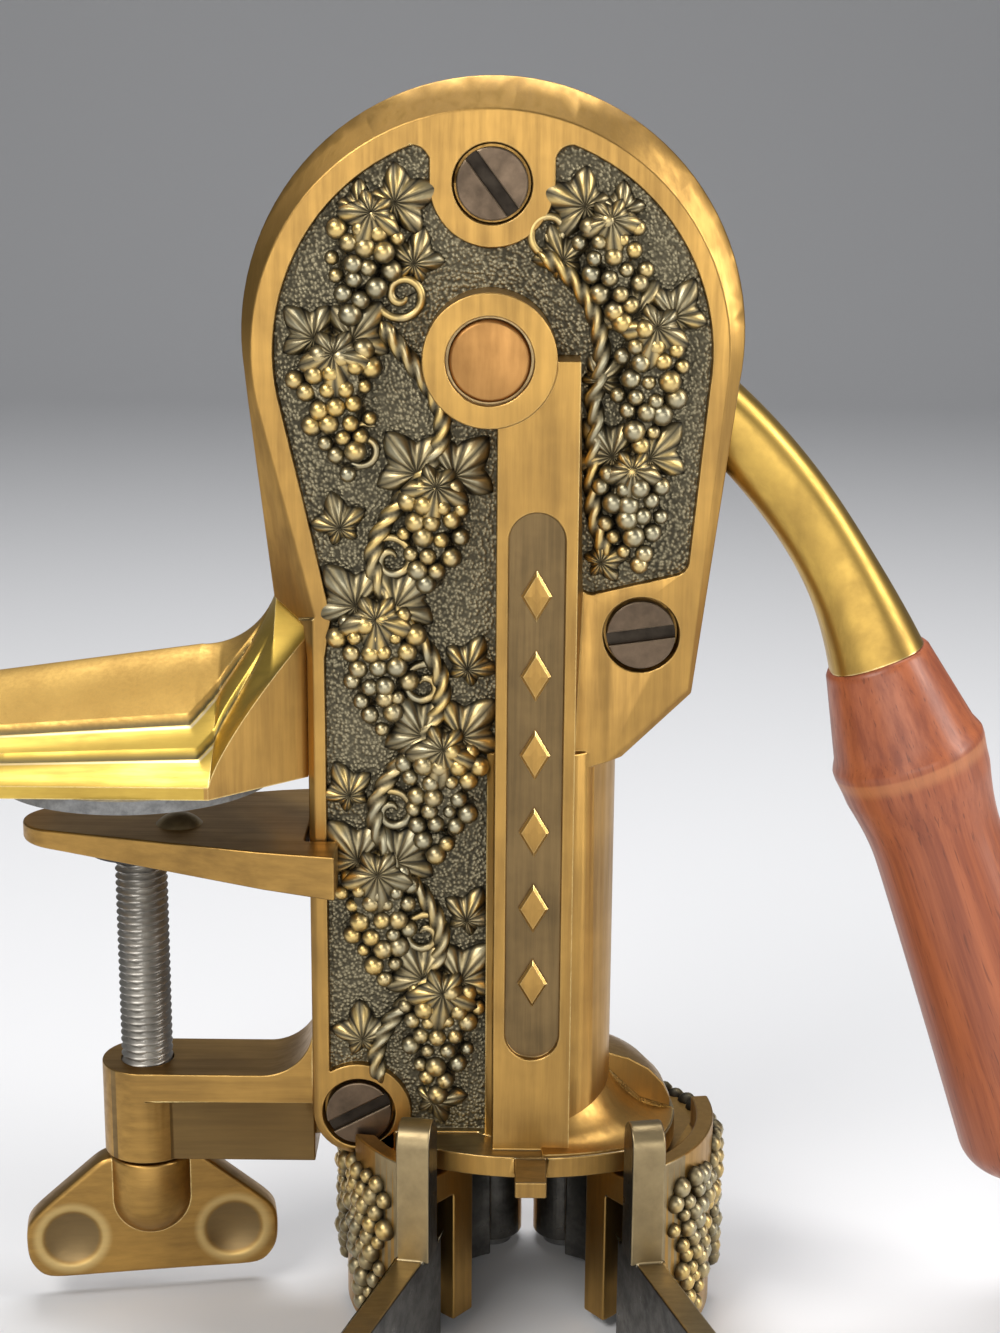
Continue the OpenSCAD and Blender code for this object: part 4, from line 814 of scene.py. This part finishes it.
for line_d in step_lines:
    below = np.clip(1 - (line_d - inside) / step_w, 0, 1) ** 1.8
    wall = np.clip(1 - (inside - line_d) / step_wall, 0, 1)
    z = z - step_h * fade * np.where(inside < line_d, below, wall)
    # The wall's foot is darkened as a painted shadow, and a line just outside it is lightened as a painted
    # highlight.
    painted_riser_shadow = np.clip(1.5 - abs(inside - line_d + 0.05) / 0.25, 0, 1)
    highlight_lip = np.clip(1.5 - abs(inside - line_d + 0.8) / 0.4, 0, 1)
    painted_step_light = painted_step_light + 0.5 * fade * (highlight_lip - painted_riser_shadow)
z = np.minimum(z, slope_z - np.clip(x - slope_from, 0, None) * slope_drop / slope_run)
upper, under = np.stack([x, y, z], axis=2) * mm, np.stack([x, y, 0 * z + arm_under], axis=2) * mm
around = np.concatenate([upper, under[:, ::-1]], axis=1)
shell = [(around.reshape(-1, 3), quads(len(span), 2 * len(share), closed=True))]
ends = [(np.stack([upper[i], under[i]]).reshape(-1, 3), quads(2, len(share))) for i in (0, -1)]
marks = np.concatenate([painted_step_light, 0.5 + 0 * painted_step_light], axis=1).ravel()
arm = skin("crowned_arm", shell + ends, lift=np.concatenate([marks, np.full(4 * len(share), 0.5)]))
arm.data.set_sharp_from_angle(angle=math.radians(38))
# The crown and band tones are its bronze raised lighter than the body's, a painted light from above on the
# arm's top faces.
crown_bronze = metal("crown_bronze", (0.62, 0.390, 0.110), (0.40, 0.240, 0.066), brush=(900.0,) * 3,
                     patches=60.0, bright=(0.86, 0.68, 0.30), bump=0.1, radius=0.0005, dull=0.12)
band_bronze = metal("band_bronze", (0.66, 0.455, 0.095), (0.44, 0.290, 0.060), worn=0.55,
                    brush=(60.0, 420.0, 420.0), patches=60.0, bright=(0.88, 0.74, 0.36), bump=0.05,
                    radius=0.0005, dull=0.08)
# On the arm the kept lift is the painted step light. Above a half the tone goes towards a pale painted
# highlight, below a half towards a dark painted shadow.
for finish in (crown_bronze, band_bronze):
    tree = finish.node_tree
    base = tree.nodes["Principled BSDF"].inputs["Base Color"]
    painted_step_light_fac = wire(tree, "Attribute", attribute_name="lift").outputs["Fac"]
    tone = mix_colour(tree, spread(tree, painted_step_light_fac, 0.5, 1.0, 0.0, 0.6), base.links[0].from_socket,
                      (0.84, 0.76, 0.56, 1))
    tone = mix_colour(tree, spread(tree, painted_step_light_fac, 0.5, 0.0, 0.0, 0.9), tone, (0.09, 0.078, 0.045, 1))
    tree.links.new(tone, base)
centre, normal = faces_of(arm.data)
band = inside_of(centre[:, 0], centre[:, 1]) < step_lines[1]
# Upright faces keep the darker body bronze, a painted shade on the sides against the lit top.
shaded_upright = (abs(normal[:, 2]) < 0.1) & ((centre[:, 0] > 19) | (normal[:, 0] < -0.9))
dress(arm, [crown_bronze, band_bronze, bronze], np.where(shaded_upright, 2, band))
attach(arm, "frame")
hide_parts("table_arm")


# Pressure plate and bracket: bronze castings of the table clamp, brushed
# along their length. The plate slides on the housing's edge, the bracket
# is fixed to it and holds the screw. The bracket's sunk web stays dark.
long_bronze = metal("lengthwise_bronze", bronze_light, bronze_dark, worn=0.45, brush=(28.0, 500.0, 500.0),
                    patches=35.0, bright=bronze_rubbed_and_highlight, dull=0.06)
web_bronze = metal("web_bronze", (0.27, 0.172, 0.064), (0.165, 0.106, 0.044), worn=0.45,
                   brush=(28.0, 500.0, 500.0), patches=25.0, dull=0.1)
web_top, web_half = -76.6, 8.3
for node, width in (("pressure_plate", 0.5), ("clamp_bracket", 0.35)):
    piece = eased(node, width)
    centre, normal = faces_of(piece.data)
    web = (abs(normal[:, 1]) > 0.7) & (centre[:, 2] < web_top) & (abs(centre[:, 1]) < web_half)
    dress(piece, [long_bronze, web_bronze], web & (node == "clamp_bracket"))


# Wing knob: one small bronze casting, a plate with two finger dimples and a round hub that is pinned to the
# screw's end. A lighter ring round each dimple is partly rubbed wear and partly a painted highlight on the
# dimple's rim, and the dimples' insides are painted darker as shade.
wing_turn, wing_mid, wing_half_t, wing_ease = math.radians(9.5), -110.0, 3.5, 1.1
dimple_x, dimple_z, dimple_ball, dimple_off = 19.0, -113.5, 15.8, 14.0
hub_r, hub_top, hub_low = 9.7, -93.0, -104.0
wing_sides = np.array([(0, 29.6), (180, 29.6), (-90, 13.5), (90, 16.8), (49.65, 19.93), (130.35, 19.93),
                       (-45, 27.65), (-135, 27.65)])
# The outline is the round-cornered form of a polygon, whose sides are given by heading and distance: the
# twenty-fourth power mean of the sides. The faces run in from it, sunk where a ball cuts each dimple.
turn = np.linspace(0, 2 * np.pi, 180, endpoint=False)
facing = np.clip(np.cos(turn[:, None] - np.radians(wing_sides[:, 0])), 0, None) / wing_sides[:, 1]
outline = (facing ** 24).sum(axis=1) ** (-1 / 24)
flat_part = np.linspace(0.03, 1, 40)[:, None] * (outline - wing_ease)
ease_a = np.radians(np.linspace(75, -75, 11))[:, None]
reach = np.concatenate([flat_part, outline - wing_ease + wing_ease * np.cos(ease_a), flat_part[::-1]])
out_of = np.concatenate([np.full(40, 1.0), np.sin(ease_a[:, 0]), np.full(40, -1.0)])[:, None]
across_wing, up_wing = reach * np.cos(turn), reach * np.sin(turn) + wing_mid
off = np.minimum(np.hypot(abs(across_wing) - dimple_x, up_wing - dimple_z), dimple_ball - 0.5)
sunk = np.sqrt(dimple_ball ** 2 - off ** 2) - dimple_off
sunk = 0.5 * (sunk + np.sqrt(sunk ** 2 + 0.15 ** 2))
rounded = np.sign(out_of) * (wing_half_t - wing_ease) + wing_ease * out_of
thick = np.where(abs(out_of) == 1, out_of * (wing_half_t - sunk), rounded)
fall = np.radians(np.linspace(0, 88, 16))
hub_reach = np.concatenate([[hub_r - 0.7, hub_r - 0.2, hub_r], hub_r * np.cos(fall)])[:, None]
hub_z = np.concatenate([[hub_top, hub_top - 0.2, hub_top - 0.7], hub_low - hub_r * np.sin(fall)])[:, None]
forms = [(across_wing, thick, up_wing),
         (hub_reach * np.cos(turn), hub_reach * np.sin(turn), hub_z + 0 * turn)]
cos_wing, sin_wing = math.cos(wing_turn), math.sin(wing_turn)
wing = skin("finger_wing", [tube(np.stack([a * cos_wing - b * sin_wing, a * sin_wing + b * cos_wing, up],
                                          axis=2) * mm) for a, b, up in forms])
wing.data.set_sharp_from_angle(angle=math.radians(50))
wing_bronze = metal("wing_bronze", bronze_light, bronze_dark, worn=0.45, brush=(28.0, 500.0, 500.0),
                    patches=35.0, bright=bronze_rubbed_and_highlight, dull=0.06)
tree = wing_bronze.node_tree
base = tree.nodes["Principled BSDF"].inputs["Base Color"]
where = wire(tree, "TexCoord").outputs["Object"]
laid = wire(tree, "Mapping", in_Vector=where, in_Rotation=(0, 0, -wing_turn)).outputs[0]
spot = wire(tree, "SeparateXYZ", in_0=laid)
off_x = math_node(tree, "SUBTRACT", math_node(tree, "ABSOLUTE", spot.outputs[0]), dimple_x * mm)
off_z = math_node(tree, "SUBTRACT", spot.outputs[2], dimple_z * mm)
from_dimple = math_node(tree, "SQRT", math_node(tree, "ADD", math_node(tree, "MULTIPLY", off_x, off_x),
                                                math_node(tree, "MULTIPLY", off_z, off_z)))
# A ring just outside each dimple goes towards the rubbed bronze: partly wear, partly a painted highlight on
# the rim.
highlight_lip = math_node(tree, "MULTIPLY", spread(tree, from_dimple, 6.4 * mm, 7.5 * mm),
                spread(tree, from_dimple, 9.8 * mm, 7.8 * mm))
tone = mix_colour(tree, math_node(tree, "MULTIPLY", highlight_lip, 0.5), base.links[0].from_socket, (*bronze_rubbed_and_highlight, 1))
# Inside each dimple the tone goes towards a dark brown, a painted shade in the hollow.
dimple_shade = spread(tree, from_dimple, 7.2 * mm, 5.8 * mm, 0.0, 0.8)
tone = mix_colour(tree, dimple_shade, tone, (0.20, 0.145, 0.075, 1))
tree.links.new(tone, base)
dress(wing, [wing_bronze])
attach(wing, "clamp_screw")
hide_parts("wing_knob")


# Jaws: two bronze castings, each with an ear, a round shell and a squeeze handle, hinged on pins behind the
# flange. Their inner faces are left rough and grey from the mould, and their ears are worn.
ear_back, ear_low, handle_back, shell_top, shell_off, shell_y = -24, -104, -38, -86, 4.3, -1.1
raw = metal("raw_casting", (0.20, 0.19, 0.17), (0.075, 0.073, 0.067), worn=0.45, brush=(350.0,) * 3,
            patches=160.0, bump=0.5)
for node, hand in (("left_jaw", -1.0), ("right_jaw", 1.0)):
    jaw = eased(node, 0.5)
    centre, normal = faces_of(jaw.data)
    radial = centre[:, :2] - np.array([column_x + shell_off * hand, shell_y])
    inward = (radial * normal[:, :2]).sum(axis=1) / np.linalg.norm(radial, axis=1) < -0.4
    turned_in = normal[:, 0] * hand < -0.5
    rough = (normal[:, 2] < -0.9) | ((centre[:, 2] < shell_top) & inward)
    rough |= (centre[:, 1] < handle_back) & turned_in
    ear = (centre[:, 1] < ear_back) & (centre[:, 2] > ear_low)
    chosen = np.where(ear & turned_in, 1, np.where(ear & (normal[:, 2] > -0.5), 2, rough))
    dress(jaw, [bronze, raw, worn_bronze], chosen)


# Jaw grapes: four hanging bunches around the outside of each jaw's shell, cast in bronze in one with it and
# rubbed as the vine relief is.
shell_r, grape_line_r, pin_x, pin_y, jaw_set = 38.2, 39.0, 9, 27, math.radians(9)
for node, hand in (("left_jaw", -1.0), ("right_jaw", 1.0)):
    patches, lifts = [], []
    for heading, top in ((-40, -88), (-8, -87), (24, -88), (54, -90)):
        spots, radii = bunch(33, 19, grape_r)
        angle = np.radians(heading) + spots[:, 0] / grape_line_r
        reach = shell_r + 0.45 * (spots[:, 2] - 1.3)
        from_pin_x, from_pin_y = reach * np.cos(angle) - pin_x, reach * np.sin(angle) - pin_y
        set_x = pin_x + from_pin_x * math.cos(jaw_set) - from_pin_y * math.sin(jaw_set)
        set_y = pin_y + from_pin_x * math.sin(jaw_set) + from_pin_y * math.cos(jaw_set)
        places = np.stack([column_x + hand * set_x, set_y, top - 2.5 + spots[:, 1]], axis=1)
        (points, faces), _ = balls(places, radii)
        away = np.stack([hand * np.cos(angle + jaw_set), np.sin(angle + jaw_set)], axis=1)
        lift = 0.25 + 0.75 * (away[:, None, :] * ball[None, :, :2]).sum(axis=2)
        patches.append((points * mm, faces))
        lifts.append(np.clip(lift, 0, 1).reshape(-1))
    piece = skin(node + "_grapes", patches, lift=np.concatenate(lifts))
    dress(piece, [relief_metal])
    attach(piece, node)


# Clamp screw: plain steel with a rolled M12 thread. It turns in the
# bracket's boss and ends in a plain neck, which the swivel cup holds.
thread_r, thread_pitch, thread_depth, neck_r = 6.0, 1.75, 0.96, 4.5
thread_low, thread_top, neck_z = -106.0, -18.8, np.array([[-18.7], [-14.4]])
steel = metal("turned_steel", (0.36, 0.355, 0.345), (0.17, 0.168, 0.16), brush=(400.0,) * 3, patches=80.0)
thread_steel = metal("thread_steel", (0.50, 0.475, 0.43), (0.29, 0.275, 0.25), brush=(400.0,) * 3,
                     patches=80.0, dull=0.12)
# The thread's depth follows a three-cornered wave of the height
# less the share of a turn, cut off flat at its crests and roots.
turn = np.linspace(0, 2 * np.pi, 40, endpoint=False)
down = np.arange(thread_low, thread_top, thread_pitch / 8)[:, None]
tooth = abs(((down / thread_pitch - turn[None] / (2 * np.pi)) % 1) - 0.5) * 2
radius = thread_r - thread_depth * np.clip(1.2 * tooth - 0.1, 0, 1)
radius = np.concatenate([radius, np.full((2, len(turn)), neck_r)])
loops = np.stack([radius * np.cos(turn), radius * np.sin(turn),
                  np.concatenate([down, neck_z]) + 0 * turn], axis=2)
thread = skin("rolled_thread", [tube(loops * mm)])
thread.data.set_sharp_from_angle(angle=math.radians(50))
dress(thread, [thread_steel])
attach(thread, "clamp_screw")
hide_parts("clamp_screw")


# Inner works, pins and pad: the worm and its carriage, pins and rivets of
# turned steel, bushes and nut of bearing bronze, blackened ring and cup, and
# the speckled grey pad under the table arm. They stay as the solids are.
bearing = metal("bearing_bronze", (0.55, 0.42, 0.22), (0.28, 0.20, 0.10), brush=(300.0,) * 3, patches=90.0)
dark = metal("blackened_steel", (0.075, 0.075, 0.078), (0.03, 0.03, 0.032), brush=(300.0,) * 3, patches=90.0)
speckled = metal("speckled_pad", (0.23, 0.23, 0.225), (0.09, 0.09, 0.09), brush=(900.0,) * 3, patches=300.0,
                 bump=0.3, metallic=0.0)
for finish, nodes in ((steel, ("worm", "worm_nut", "hub_pin", "drive_pin", "grip_tang", "front_yoke",
                               "rear_yoke", "carriage_block", "yoke_rivets", "guide_pins", "jaw_pins",
                               "knob_pin")),
                      (bearing, ("front_bush", "rear_bush", "thrust_washer", "guide_nut", "cup_rivet")),
                      (dark, ("neck_ring", "swivel_cup")), (speckled, ("seat_pad",))):
    for node in nodes:
        dress(frame["nodes"][node], [finish])
